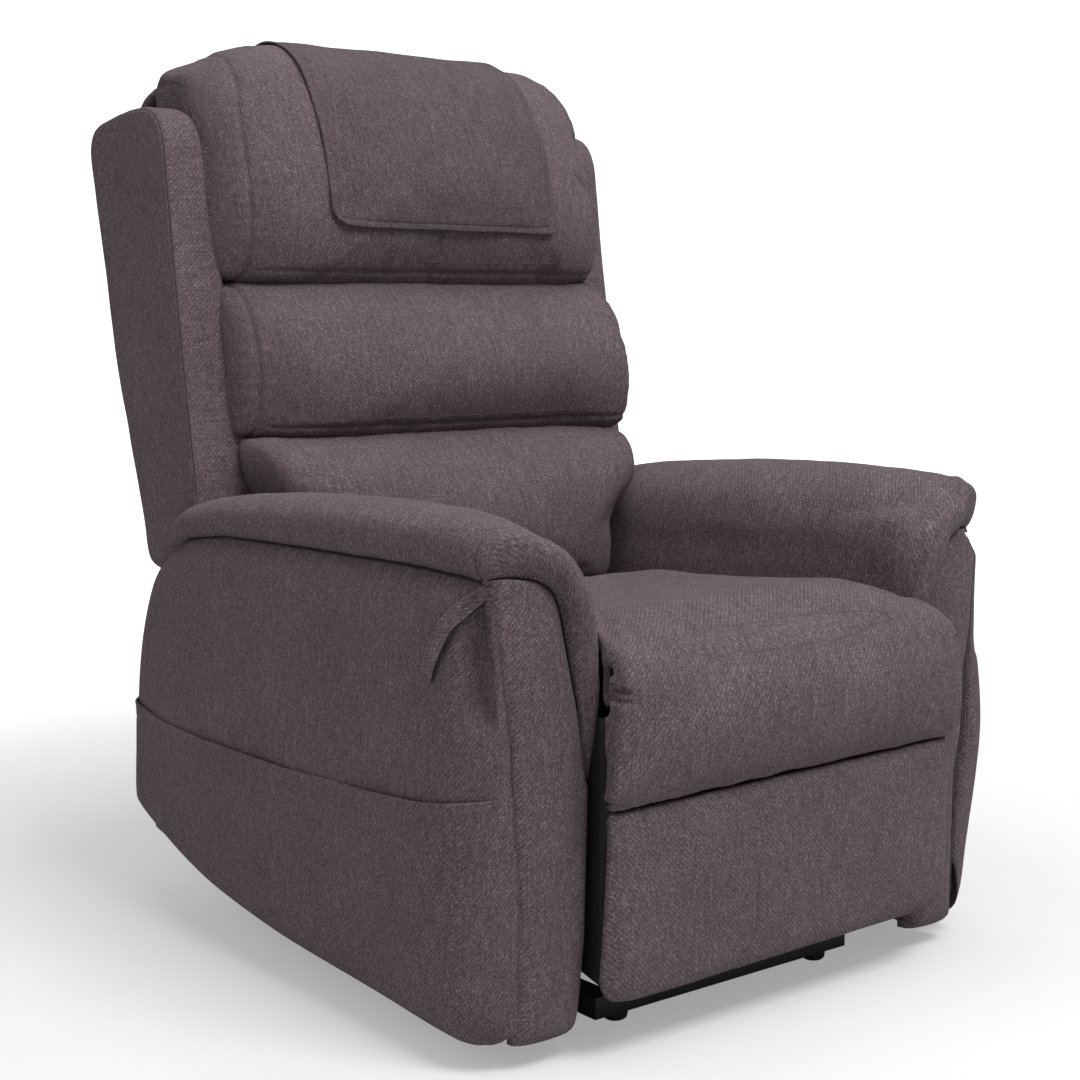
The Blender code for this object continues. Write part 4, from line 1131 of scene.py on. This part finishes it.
# upper edge of the pocket (y, z)
MOUTH = [(0, 0.300), (0.08, 0.287), (0.19, 0.279), (0.36, 0.271), (0.70, 0.270), (0.79, 0.278)]


def side_x(y, z, fuller=0.0):
    """Outer face of the arm: it wraps round the front corner and tucks in at the other edges."""
    crown = (ARM_CROWN_X + (0.0110 + fuller) * bell(z - 0.26, 0.17) * ease(y / 0.16 + 0.25)
             * ease((0.86 - y) / 0.22))
    crown = crown - 0.0160 * ease((y - 0.56) / 0.26)
    seam = table(z, EDGE_SEAM)
    front = np.clip(y / 0.060, 0, 1)
    x = seam + (crown - seam) * np.sqrt(1 - (1 - front) ** 2) ** 0.9
    gap, _ = line_distance(np.column_stack([y.ravel(), z.ravel()]), ARM_TUCK_PATH)
    gap = np.clip(gap.reshape(y.shape) / 0.045, 0, 1)
    x = x - 0.0210 * (1 - np.sqrt(1 - (1 - gap) ** 2))
    # soft hollow behind the front seam, under the loop, with a low ridge behind it
    wall = table(z, [(0.350, 0.022), (0.400, 0.034), (0.440, 0.040), (0.490, 0.034),
                     (0.530, 0.018)])
    hollow = (ease((y - 0.0015) / 0.0085) * ease((wall - y) / 0.0110)
              * ease((z - 0.352) / 0.06) * ease((0.523 - z) / 0.02))
    x = np.where(hollow > 0, np.maximum(x - 0.0280 * hollow, np.minimum(x, 0.3680)), x)
    return x + 0.0040 * bell(y - 0.058, 0.018) * ease((z - 0.36) / 0.08) * ease((0.52 - z) / 0.03)


def wrapped_y(x, y):
    """Weave position that runs on round the front corner."""
    return y - np.maximum(0, ARM_CROWN_X - x) * ease((0.065 - y) / 0.05)


def mirrored(points, sign):
    """Places an arm shape on its side; the left arm is a little fuller, its pad end shorter."""
    points = arr(points)
    if sign > 0:
        x, y, z = points[..., 0], points[..., 1], points[..., 2]
        front = ease((0.34 - y) / 0.30)
        tip = ease((0.043 - y) / 0.043) * ease((x - 0.325) / 0.05)
        flare = ((0.0190 + 0.0130 * bell(y - 0.016, 0.018)) * bell(z - 0.265, 0.150)
                 * ease((x - 0.338) / 0.032) * front)
        points[..., 0] = x + flare - tip * table(z, [
            (0.496, 0.0), (0.526, 0.0240), (0.540, 0.0215), (0.560, 0.0140), (0.580, 0.0110)])
        points[..., 2] = z + 0.0100 * tip * ease((z - 0.535) / 0.025)
    return points * arr([sign, 1, 1])


def side_cover(side, sign):
    count, ring_count = pick((420, 60))
    base = curve(ARM_OUTLINE, count, closed=True)
    centre = arr((0.400, 0.290))
    # flat inner face first, then the outer face from its rim to its middle
    rings = [np.column_stack([np.full(count, 0.3676), centre + (base - centre) * f])
             for f in (0.02, 0.5, 0.985)]
    weave = [ring[:, 1:] for ring in rings]
    for f in 1 - np.linspace(0, 1, ring_count) ** 1.35 * 0.985:
        outline = centre + (base - centre) * f
        y, z = outline.T
        x = side_x(y, z, fuller=0.010 if sign > 0 else 0.0)
        flat = np.column_stack([np.zeros(count), outline])
        fade = min(1, (1 - f) * 12)
        x = (x + 0.0011 * waves(flat, 5.0, 200 + sign, (1, 0.7, 1.0)) * fade
             + 0.0005 * waves(flat, 17.0, 210 + sign) * fade)
        if sign < 0:  # board behind the pocket
            mouth = table(y, MOUTH)
            room = (ease((mouth - 0.004 - z) / 0.014) * ease((y - 0.030) / 0.02)
                    * ease((0.785 - y) / 0.02) * ease((z - 0.055) / 0.02))
            x = x * (1 - room) + 0.3738 * room
            x = x - 0.0040 * (ease((mouth - 0.002 - z) / 0.006) * (1 - room))
        rings.append(np.column_stack([x, outline]))
        weave.append(np.column_stack([wrapped_y(x, y), z]))
    ob = ring_piece(f"arm_outer_{side}", [mirrored(r, sign) for r in rings], weave, FABRIC)
    place(ob, "fabric", "chair", f"arm_side_{side}")


# pocket edges: bottom (y, z) and rear (z, y)
POCKET_BOTTOM = [(0, 0.044), (0.010, 0.035), (0.032, 0.0285), (0.230, 0.0375), (0.420, 0.0485),
                 (0.560, 0.0665), (0.670, 0.0875), (0.792, 0.1155), (0.817, 0.131)]
POCKET_REAR = [(0.125, 0.818), (0.155, 0.8225), (0.222, 0.8155), (0.300, 0.8085)]


def pocket():
    """Cloth pocket on the outside of the right arm."""
    A, B = np.meshgrid(np.linspace(0, 1, pick(260)), np.linspace(0, 1, pick(74)),
                       indexing="ij")

    def edges(y):
        return table(y, MOUTH + [(0.83, 0.280)]), table(y, POCKET_BOTTOM)

    # a first guess of z finds the rear edge, which then sets y
    mouth, bottom = edges(A * 0.816)
    y = A * table(bottom + (mouth - bottom) * B, POCKET_REAR)
    mouth, bottom = edges(y)
    z = bottom + (mouth - bottom) * B
    x = side_x(y, z)
    edge = np.minimum(table(z, POCKET_REAR) - y, z - bottom)
    swell = 0.0046 * ease(edge / 0.030) * (0.45 + 0.55 * ease(y / 0.030))
    edge = np.minimum(edge, y)
    flat = np.stack([0 * y, y, z], 2)
    x = x + swell + 0.0010 * waves(flat, 5.5, 333, (1, 0.8, 1.1)) * ease(edge / 0.03)
    # hem along the mouth, its stitched groove and a wavy upper edge
    top = mouth - z
    hem = ease(1 - top / 0.022)
    x = (x + 0.0010 * hem - 0.0011 * bell(top - 0.022, 0.0018)
         + 0.0014 * bell(top, 0.004) * np.sin(y * 17.0))
    outer = np.stack([-x, y, z], 2)
    inner = np.stack([-(x - (0.0022 + 0.0012 * hem)), y, z], 2)
    ob = slab("arm_pocket", outer, inner, np.stack([wrapped_y(x, y), z], 2), FABRIC)
    place(ob, "fabric", "chair", "side_pocket")


# cross sections of the arm pad (x, z), from the outer seam over the crest and down the inner
# side: full, at the welt near the front, and at the scroll seam of the front panel
PAD_FULL = [(0.3800, 0.5260), (0.3930, 0.5350), (0.3990, 0.5530), (0.3950, 0.5730),
            (0.3770, 0.5880), (0.3500, 0.5930), (0.3200, 0.5895), (0.2920, 0.5770),
            (0.2685, 0.5545), (0.2555, 0.5240), (0.2525, 0.4800), (0.2500, 0.4300),
            (0.2490, 0.3700), (0.2488, 0.3050)]
PAD_WELT = [(0.3830, 0.5265), (0.3910, 0.5370), (0.3935, 0.5510), (0.3865, 0.5670),
            (0.3690, 0.5770), (0.3480, 0.5750), (0.3210, 0.5690), (0.2940, 0.5540),
            (0.2730, 0.5290), (0.2625, 0.4960), (0.2575, 0.4600), (0.2540, 0.4150),
            (0.2515, 0.3620), (0.2502, 0.3030)]
SCROLL = [(0.3833, 0.5262), (0.3850, 0.5280), (0.3825, 0.5292), (0.3760, 0.5296),
          (0.3650, 0.5294), (0.3520, 0.5285), (0.3360, 0.5262), (0.3190, 0.5215),
          (0.3020, 0.5100), (0.2925, 0.4920), (0.2850, 0.4600), (0.2765, 0.4220),
          (0.2670, 0.3800), (0.2545, 0.3030)]
# along the arm (y, z): crest and outer seam of the pad
CREST = [(0.000, 0.578), (0.047, 0.588), (0.100, 0.592), (0.200, 0.593), (0.350, 0.589),
         (0.480, 0.580), (0.550, 0.573), (0.620, 0.562), (0.684, 0.552)]
PAD_SEAM = [(0.000, 0.5265), (0.146, 0.5300), (0.406, 0.5265), (0.539, 0.5230), (0.633, 0.5110)]
PAD_BASE_Z = 0.5265
PAD_GIRTH = 0.36      # weave length across the pad
PAD_ROUND_Y = 0.590   # behind this the pad closes to its rear end
# front band by fraction across the pad: forward roll and outward swell
BAND_FORWARD = [(0, 0.002), (0.05, 0.008), (0.14, 0.019), (0.24, 0.029), (0.36, 0.033),
                (0.50, 0.030), (0.62, 0.024), (0.76, 0.017), (0.88, 0.010), (1.0, 0.003)]
BAND_SWELL = [(0, 0.0), (0.06, 0.003), (0.2, 0.003), (0.4, 0.002), (0.55, 0.006),
              (0.66, 0.009), (0.78, 0.010), (0.9, 0.007), (1.0, 0.001)]
# where the welt groove shows, by fraction across the pad
WELT_SHOWS = [(0, 1), (0.10, 1), (0.17, 0), (0.30, 0), (0.38, 1), (0.80, 1), (0.86, 0)]


def arm_pad_cover(side, sign):
    count = pick(150)
    full, welt, scroll = [curve(p, count) for p in (PAD_FULL, PAD_WELT, SCROLL)]
    key = np.linspace(0, 1, count)
    rear_rows, long_rows = pick((22, 86))
    ys = np.concatenate([np.linspace(0.684, 0.600, rear_rows),
                         np.linspace(pick(0.593), 0.010, long_rows)])
    rows, weave = [], []
    for y in ys:
        # the welt section grows to the full one behind the front, sooner on the inner side
        blend = np.maximum(ease((y - 0.006) / 0.11),
                           ease((y + 0.016) / 0.036) * ease((key - 0.34) / 0.16))[:, None]
        section = welt * (1 - blend) + full * blend
        high = section[:, 1]
        seam = table(y, PAD_SEAM + [(0.690, 0.488)])
        base = seam + (PAD_BASE_Z - seam) * ease((key - 0.30) / 0.15)
        crest = table(y, CREST) + (0.007 if sign > 0 else 0.0)
        up = high > PAD_BASE_Z
        fitted = section.copy()
        fitted[up, 1] = base[up] + ((high[up] - PAD_BASE_Z) * (crest - base[up])
                                    / (high.max() - PAD_BASE_Z))
        fitted[~up, 1] = np.where(key[~up] < 0.3, seam + (high[~up] - PAD_BASE_Z), high[~up])
        if y > PAD_ROUND_Y:
            size = math.sqrt(max(0.0, 1 - ((y - PAD_ROUND_Y) / 0.0955) ** 2))
            centre = arr((0.3850, seam + 0.006))
            fitted = centre + (fitted - centre) * arr((size, 0.35 + 0.65 * size))
        rows.append(np.column_stack([fitted[:, 0], np.full(count, y), fitted[:, 1]]))
        weave.append(np.column_stack([np.full(count, y), key * PAD_GIRTH]))
    # in front of the welt a band rolls forward to the scroll seam
    forward, swell = table(key, BAND_FORWARD), table(key, BAND_SWELL)
    tangent = tangents(welt)
    outward = np.stack([-tangent[:, 1], tangent[:, 0]], 1)
    if outward[count // 3, 1] < 0:
        outward = -outward
    for t in np.linspace(0, 1, pick(30) + 1)[1:]:
        blend = 0.5 - 0.5 * math.cos(math.pi * t)
        section = welt * (1 - blend) + scroll * blend
        if t < 0.87:
            rise = math.sin(math.pi * min(1, t * 1.15)) ** 0.9
            section = section + outward * (swell * rise)[:, None]
        y = 0.004 - forward * math.sin(math.pi * t) ** 0.75 + 0.002 * t
        rows.append(np.column_stack([section[:, 0], y, section[:, 1]]))
        weave.append(np.column_stack([np.full(count, -0.045 * t), key * PAD_GIRTH]))
    grid = np.stack(rows)
    for _ in range(2):  # keeps the turns soft
        grid[1:-1] = 0.6 * grid[1:-1] + 0.2 * (grid[:-2] + grid[2:])
    normal = facing_normals(grid, len(ys) // 2, count // 3, axis=2, sign=1)
    row = np.arange(len(rows))
    gap = np.abs(row - (len(ys) - 0.5))[:, None] * 0.0045
    fade = ease(1.2 - np.abs(key - 0.42) * 1.5)[None]
    shows = table(key, WELT_SHOWS)[None]
    lift = (-0.0020 * bell(gap, 0.0035) + 0.0010 * bell(gap - 0.008, 0.005)) * shows * fade ** 0.2
    ends = ease(np.minimum(row, row[::-1]) / 6.0)[:, None]
    lift = lift + 0.0010 * waves(grid, 6.0, 400 + sign, (1, 0.8, 1)) * ends
    lift = lift + 0.0006 * waves(grid, 20.0, 410 + sign, (1, 0.8, 1)) * ends
    grid = grid + normal * lift[..., None]
    inner = grid - normal * 0.0035
    ob = slab(f"arm_top_{side}", mirrored(grid, sign), mirrored(inner, sign),
              np.stack(weave), FABRIC)
    place(ob, "fabric", "chair", f"arm_pad_{side}")
    surface = surface_of(ob)
    welt_row = grid[len(ys) - 1]
    # near-black line of painted shade in the welt groove near the outer seam, then a thread line along
    # the welt
    line("seam", "chair",
         onto(surface, mirrored(welt_row[: int(count * 0.13)], sign), -0.0001), 0.0006)
    line("thread", "chair",
         onto(surface, mirrored(welt_row[int(count * 0.30): int(count * 0.80)], sign), -0.0002),
         0.0006)


PANEL_BOTTOM, PANEL_TOP = 0.0285, 0.5290
# inner edge of the front panel below the scroll seam (z, x)
PANEL_INNER = [(0.028, 0.2715), (0.040, 0.2670), (0.057, 0.2640), (0.129, 0.2560),
               (0.296, 0.2510), (0.305, 0.2545)]


def front_panel(side, sign):
    row_count, count = pick((150, 56))
    scroll = curve(SCROLL, 200)
    edge = scroll[scroll[:, 0] < 0.378]
    order = np.argsort(edge[:, 1])
    heights = PANEL_BOTTOM + (PANEL_TOP - PANEL_BOTTOM) * np.linspace(0, 1, row_count) ** 0.9
    outer_x = table(heights, EDGE_SEAM)
    inner_x = np.where(heights < 0.3035, table(heights, PANEL_INNER),
                       np.interp(heights, edge[order, 1], edge[order, 0]))
    a = np.linspace(0, 1, count)
    radius = 0.012
    rows = []
    for k, z in enumerate(heights):
        width = outer_x[k] - inner_x[k]
        x = outer_x[k] - width * a
        outer_gap, inner_gap = width * a, width * (1 - a)
        high = ease((z - 0.295) / 0.03)
        # crowned face that falls back at both sides and the bottom
        y = -0.0045 - 0.0050 * np.sin(math.pi * a) ** 0.8 * min(1, width / 0.05)
        y = y + 0.0060 * np.exp(-outer_gap / 0.005)
        y = y + high * 0.0090 * np.exp(-inner_gap / 0.004)
        drop = np.sqrt(np.maximum(radius * radius - (radius - inner_gap) ** 2, 0))
        y = y + (1 - high) * np.where(inner_gap < radius, radius - drop, 0)
        y = y + 0.008 * np.exp(-(z - PANEL_BOTTOM) / 0.005)
        flat = np.column_stack([x, np.zeros(count), np.full(count, z)])
        y = y + (0.0009 * waves(flat, 7.0, 500 + sign, (1.4, 1, 0.6))
                 * np.minimum(1, np.minimum(outer_gap, inner_gap) / 0.02))
        rows.append(np.column_stack([x, y, np.full(count, z)]))
    grid = np.stack(rows)
    inner = grid.copy()
    inner[..., 1] = np.maximum(0.0170, grid[..., 1] + 0.004)
    ob = slab(f"arm_face_{side}", mirrored(grid, sign), mirrored(inner, sign),
              grid[..., [0, 2]], FABRIC)
    place(ob, "fabric", "chair", f"arm_front_{side}")
    # near-black lines of painted shade in the scroll seam and the outer pad seam, and a thread line
    # along the corner seam
    path = np.column_stack([scroll[:150, 0], np.full(150, 0.001), scroll[:150, 1] + 0.0002])
    line("seam", "chair", mirrored(path, sign) + SHIFT, 0.0013)
    z = np.linspace(0.060, 0.520, 120)
    path = np.column_stack([table(z, EDGE_SEAM), np.full(120, -0.0002), z])
    line("thread", "chair", mirrored(path, sign) + SHIFT, 0.0007)
    y = np.linspace(0.006, 0.640, 140)
    path = np.column_stack([np.full(140, 0.3835), y, table(y, PAD_SEAM)])
    line("seam", "chair", mirrored(path, sign) + SHIFT, 0.0016)


def lining(name, body, outer, inner, axes):
    """Black cloth between two grids, woven along two of the axes."""
    place(slab(name, outer, inner, outer[..., axes], LINING), "lining", body)


def arm_lining(side, sign):
    """Black cloth over the inner and lower faces of the arm frame."""
    profile = curve([(0.2590, 0.430), (0.2585, 0.300), (0.2588, 0.150), (0.2592, 0.075),
                     (0.2640, 0.0592), (0.3000, 0.0590), (0.3500, 0.0592),
                     (0.3662, 0.0600)], 70)  # (x, z)
    grid = np.stack([np.column_stack([profile[:, 0], np.full(70, y), profile[:, 1]])
                     for y in np.linspace(0.0190, 0.6010, 60)])
    grid[..., 0] -= 0.0010 * waves(grid, 9.0, 600 + sign) * (grid[..., 2] > 0.08)
    inner = grid + arr([0.0006, 0, 0.0003])
    lining(f"arm_lining_{side}", "chair", mirrored(grid, sign), mirrored(inner, sign), [1, 2])


for side, sign in SIDES:
    side_cover(side, sign)
    arm_pad_cover(side, sign)
    front_panel(side, sign)
    arm_lining(side, sign)
pocket()


# ---------------------------------------------------------------- cloth loop
def hand_loop():
    """Folded strap on the right arm, from the top front corner down and back."""
    count = 60
    centre = curve([(0.006, 0.5225), (0.020, 0.5080), (0.040, 0.4830), (0.059, 0.4550),
                    (0.073, 0.4340), (0.081, 0.4210)], count)  # (y, z)
    width = table(np.linspace(0, 1, count),
                  [(0, 0.008), (0.12, 0.012), (0.35, 0.018), (0.8, 0.022), (1.0, 0.021)])
    tangent = tangents(centre)
    normal = np.stack([tangent[:, 1], -tangent[:, 0]], 1)
    a = np.linspace(-0.5, 0.5, 17)
    hem = 0.0007 * (np.abs(a) > 0.34) - 0.0005 * bell(np.abs(a) - 0.30, 0.03)
    grid = np.zeros((count, 17, 3))
    for i in range(count):
        strip = centre[i] + normal[i] * (a * width[i])[:, None]
        x = side_x(strip[:, 0], strip[:, 1])
        t = i / (count - 1)
        lift = 0.0026 + 0.0060 * math.sin(t * math.pi) ** 0.7
        fold = 0.0016 * np.cos(a * 2 * math.pi) * (1 - t)
        grid[i] = np.column_stack([-(np.maximum(x, x.mean()) + lift + fold + hem), strip])
    weave = np.stack(np.broadcast_arrays(a * 0.022, np.linspace(0, 0.14, count)[:, None]), 2)
    ob = slab("hand_loop", grid, grid + arr([0.0017, 0, 0]), weave, STRAP)
    refine(ob)
    place(ob, "fabric", "chair", "cloth_loop")
    # near-black line of painted shadow under the front lower edge of the strap
    line("seam", "chair", grid[6:, 16] + SHIFT + arr([0.0022, 0, 0]), 0.0008)
    for column in (3, 13):
        stitches("chair", grid[3:-2, column] + SHIFT - arr([0.0004, 0, 0]),
                 pitch=0.0042, length=0.003, radius=0.0004)


hand_loop()


# ---------------------------------------------------------------- dark cloth inside and behind
def seat_linings():
    profile = curve([(-0.0300, 0.4350), (-0.0200, 0.4000), (-0.010, 0.3850), (0.020, 0.3830),
                     (0.200, 0.3835), (0.480, 0.3840)], 60)
    grid = across(np.linspace(-0.236, 0.236, 40), profile)
    lining("seat_under_cloth", "chair", grid, grid - grid_normals(grid) * 0.0008, [0, 1])

    profile = curve([(0.4700, 0.3846), (0.4900, 0.3850), (0.5350, 0.3862), (0.5830, 0.3870)], 24)
    grid = across(np.linspace(-0.2400, 0.2400, 50), profile)
    grid[..., 2] += 0.0005 * waves(grid, 12.0, 171)
    lining("seat_rear_flap", "chair", grid, grid - grid_normals(grid) * 0.0007, [0, 1])


def back_frame_lining():
    wrap = curve([(-0.2912, 0.031), (-0.2915, 0.004), (-0.2900, -0.0010), (-0.2850, -0.0013),
                  (0.0, -0.0013), (0.2850, -0.0013), (0.2900, -0.0010), (0.2915, 0.004),
                  (0.2912, 0.031)], 90)  # (x, y from the sloping front of the frame)
    grid = np.stack([
        np.column_stack([wrap[:, 0], 0.660 + BACK_SLOPE * (z - 0.440) + wrap[:, 1],
                         np.full(90, z)])
        for z in np.linspace(0.4440, 1.0410, 60)])
    normal = facing_normals(grid, 30, 45, axis=1, sign=-1)
    lining("back_frame_cloth", "back", grid, grid - normal * 0.0007, [0, 2])


def legrest_linings():
    base = curve([(-0.2562, -0.0366), (-0.2562, -0.0230), (-0.10, -0.0226), (0.10, -0.0226),
                  (0.2562, -0.0230), (0.2562, -0.0366), (0.10, -0.0368), (-0.10, -0.0368)],
                 160, closed=True)  # (x, y)
    stations = ([(0.0968, 0.9), (0.0966, 1.0)] + [(z, 1.0) for z in np.linspace(0.11, 0.36, 24)]
                + [(0.3734, 1.0), (0.3736, 0.9)])  # (z, scale)
    rings = [np.column_stack([base * scale, np.full(160, z)]) for z, scale in stations]
    ob = ring_piece("legrest_back_cloth", rings, None, LINING)
    points = coords(ob)
    points[:, 1] += (0.0006 * np.abs(waves(points, 12.0, 83))
                     * (points[:, 1] > FRONT_Y - 0.026))
    set_coords(ob, points)
    place(ob, "lining", "legrest")

    for side, sign in SIDES:
        grid = np.zeros((30, 50, 3))
        for i, y in enumerate(np.linspace(-0.0230, 0.0700, 30)):
            low = 0.0745 + 0.25 * max(0.0, y + 0.0230)
            high = 0.3720 - 0.25 * max(0.0, y)
            grid[i] = np.column_stack([np.full(50, sign * 0.2468), np.full(50, y),
                                       np.linspace(low, high, 50)])
        grid[..., 0] += sign * 0.0004 * waves(grid, 14.0, 130 + sign)
        lining(f"legrest_side_cloth_{side}", "legrest", grid,
               grid - arr([sign * 0.0007, 0, 0]), [1, 2])


def arm_rear_linings():
    profile = np.column_stack([np.full(60, 0.6046), np.linspace(0.0600, 0.5080, 60)])
    for side, sign in SIDES:
        grid = across(sign * np.linspace(0.2590, 0.3664, 24), profile)
        grid[..., 1] += 0.0008 * waves(grid, 9.0, 150 + sign)
        lining(f"arm_rear_cloth_{side}", "chair", grid, grid - arr([0, 0.0007, 0]), [0, 2])


def seat_front_lining():
    profile = curve([(0.0100, 0.3738), (0.0045, 0.3736), (0.0032, 0.3700), (0.0031, 0.3400),
                     (0.0032, 0.3100), (0.0045, 0.3072), (0.0100, 0.3070)], 40)
    grid = across(np.linspace(-0.2394, 0.2394, 50), profile)
    normal = facing_normals(grid, 25, 20, axis=1, sign=-1)
    lining("seat_front_cloth", "chair", grid, grid - normal * 0.0006, [0, 2])


def rear_skirt():
    """Fabric hanging below the back shell."""
    profile = curve([(0.7482, 0.2300), (0.7500, 0.2600), (0.7540, 0.3000), (0.7580, 0.3400),
                     (0.7610, 0.3760)], 34)
    grid = across(np.linspace(-0.300, 0.300, 60), profile)
    grid[..., 1] += 0.0016 * waves(grid, 9.0, 71, (1.5, 1, 0.4))
    ob = slab("rear_skirt", grid, grid - grid_normals(grid) * 0.0012, grid[..., [0, 2]], FABRIC)
    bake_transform(ob)


seat_linings()
back_frame_lining()
legrest_linings()
arm_rear_linings()
seat_front_lining()
rear_skirt()

# seam lines of painted shade, thread lines and stitches, one piece for each kind and body
for (kind, body), items in LINES.items():
    ob = mesh(f"{kind}_lines_{body}", *joined(items), None, THREAD if kind == "thread" else SEAM_SHADE)
    place(ob, "fabric", body)

# ---------------------------------------------------------------- stage, light, camera
SWEEP_START, SWEEP_RADIUS = 4.5, 3.0


def floor_material():
    """Pale grey that glows to the camera, more so away from the chair."""
    m = Material("floor")
    cloud = m.noise(m.object_coords(), scale=3.0, detail=3.0)
    m.set("Base Color", m.ramp(cloud, [(0.3, (0.60, 0.60, 0.605)), (0.7, (0.63, 0.63, 0.632))]))
    m.set("Roughness", 0.75)
    light_path = m.node("ShaderNodeLightPath")
    m.set("Emission Color", (1, 1, 1, 1))
    distance = m.node("ShaderNodeVectorMath", operation="LENGTH")
    geometry = m.node("ShaderNodeNewGeometry")
    m.put(distance.inputs[0], geometry.outputs["Position"])
    # the glow starts to grow 0.75 m out
    far = m.swing(distance.outputs["Value"], 0.75, 0.45)
    far = m.math("MINIMUM", m.math("MAXIMUM", far, 0.0), 1.0)
    glow = m.add(m.mul(far, 0.80), 0.33)
    m.set("Emission Strength", m.mul(light_path.outputs["Is Camera Ray"], glow))
    return m.mat


def floor():
    """Floor that curves up into a wall behind the chair."""
    path = [(y, 0.0) for y in np.linspace(-9.0, SWEEP_START, 14)]
    path += [(SWEEP_START + SWEEP_RADIUS * math.sin(t), SWEEP_RADIUS - SWEEP_RADIUS * math.cos(t))
             for t in np.linspace(0.1, math.pi / 2, 20)]
    path += [(SWEEP_START + SWEEP_RADIUS, z) for z in (5.0, 8.0, 12.0)]
    points = [(x, y, z) for x in (-14.0, 14.0) for y, z in path]
    count = len(path)
    data = bpy.data.meshes.new("floor")
    data.from_pydata(points, [], [[i, i + 1, count + i + 1, count + i] for i in range(count - 1)])
    data.shade_smooth()
    ob = bpy.data.objects.new("floor", data)
    ob.rotation_euler = (0, 0, math.radians(-38.4))
    bpy.context.scene.collection.objects.link(ob)
    data.materials.append(floor_material())


def studio_world():
    """White surroundings, brighter to the camera than as a light."""
    world = bpy.data.worlds.new("studio")
    bpy.context.scene.world = world
    world.use_nodes = True
    tree = world.node_tree
    background = tree.nodes["Background"]
    background.inputs[0].default_value = (1.0, 1.0, 1.0, 1)
    light_path = tree.nodes.new("ShaderNodeLightPath")
    strength = tree.nodes.new("ShaderNodeMath")
    strength.operation = "MULTIPLY_ADD"
    strength.inputs[1].default_value = 0.85  # added for the camera
    strength.inputs[2].default_value = 0.35  # as a light
    tree.links.new(light_path.outputs["Is Camera Ray"], strength.inputs[0])
    tree.links.new(strength.outputs[0], background.inputs[1])


def area(name, location, target, size, power):
    light = bpy.data.lights.new(name, "AREA")
    light.shape = "RECTANGLE"
    light.size, light.size_y = size
    light.energy = power
    light.color = (1, 1, 1)
    ob = bpy.data.objects.new(name, light)
    ob.location = location
    direction = Vector(target) - Vector(location)
    ob.rotation_euler = direction.to_track_quat("-Z", "Y").to_euler()
    bpy.context.scene.collection.objects.link(ob)


def camera(location, heading, down):
    """Angles in degrees: heading turned from +y about z, and tilt below level."""
    data = bpy.data.cameras.new("camera")
    data.sensor_width = 36
    data.lens = 63.63
    ob = bpy.data.objects.new("camera", data)
    turn, tilt = math.radians(heading), math.radians(down)
    forward = Vector((-math.sin(turn) * math.cos(tilt), math.cos(turn) * math.cos(tilt),
                      -math.sin(tilt)))
    ob.location = location
    ob.rotation_mode = "QUATERNION"
    ob.rotation_quaternion = forward.to_track_quat("-Z", "Y")
    bpy.context.scene.collection.objects.link(ob)
    bpy.context.scene.camera = ob


floor()
studio_world()
area("key", location=(0.2, -2.5, 3.7), target=(0, 0, 1.0), size=(1.8, 1.4), power=104)
area("fill_left", location=(-3.2, -1.0, 2.2), target=(0, 0, 0.6), size=(2.0, 2.0), power=14)
area("top", location=(0.0, -0.2, 3.4), target=(0, 0, 0.7), size=(2.4, 2.4), power=37)
camera(location=(-1.529, -1.956, 0.803), heading=-38.392, down=6.943)
bpy.context.scene.view_settings.view_transform = "Standard"
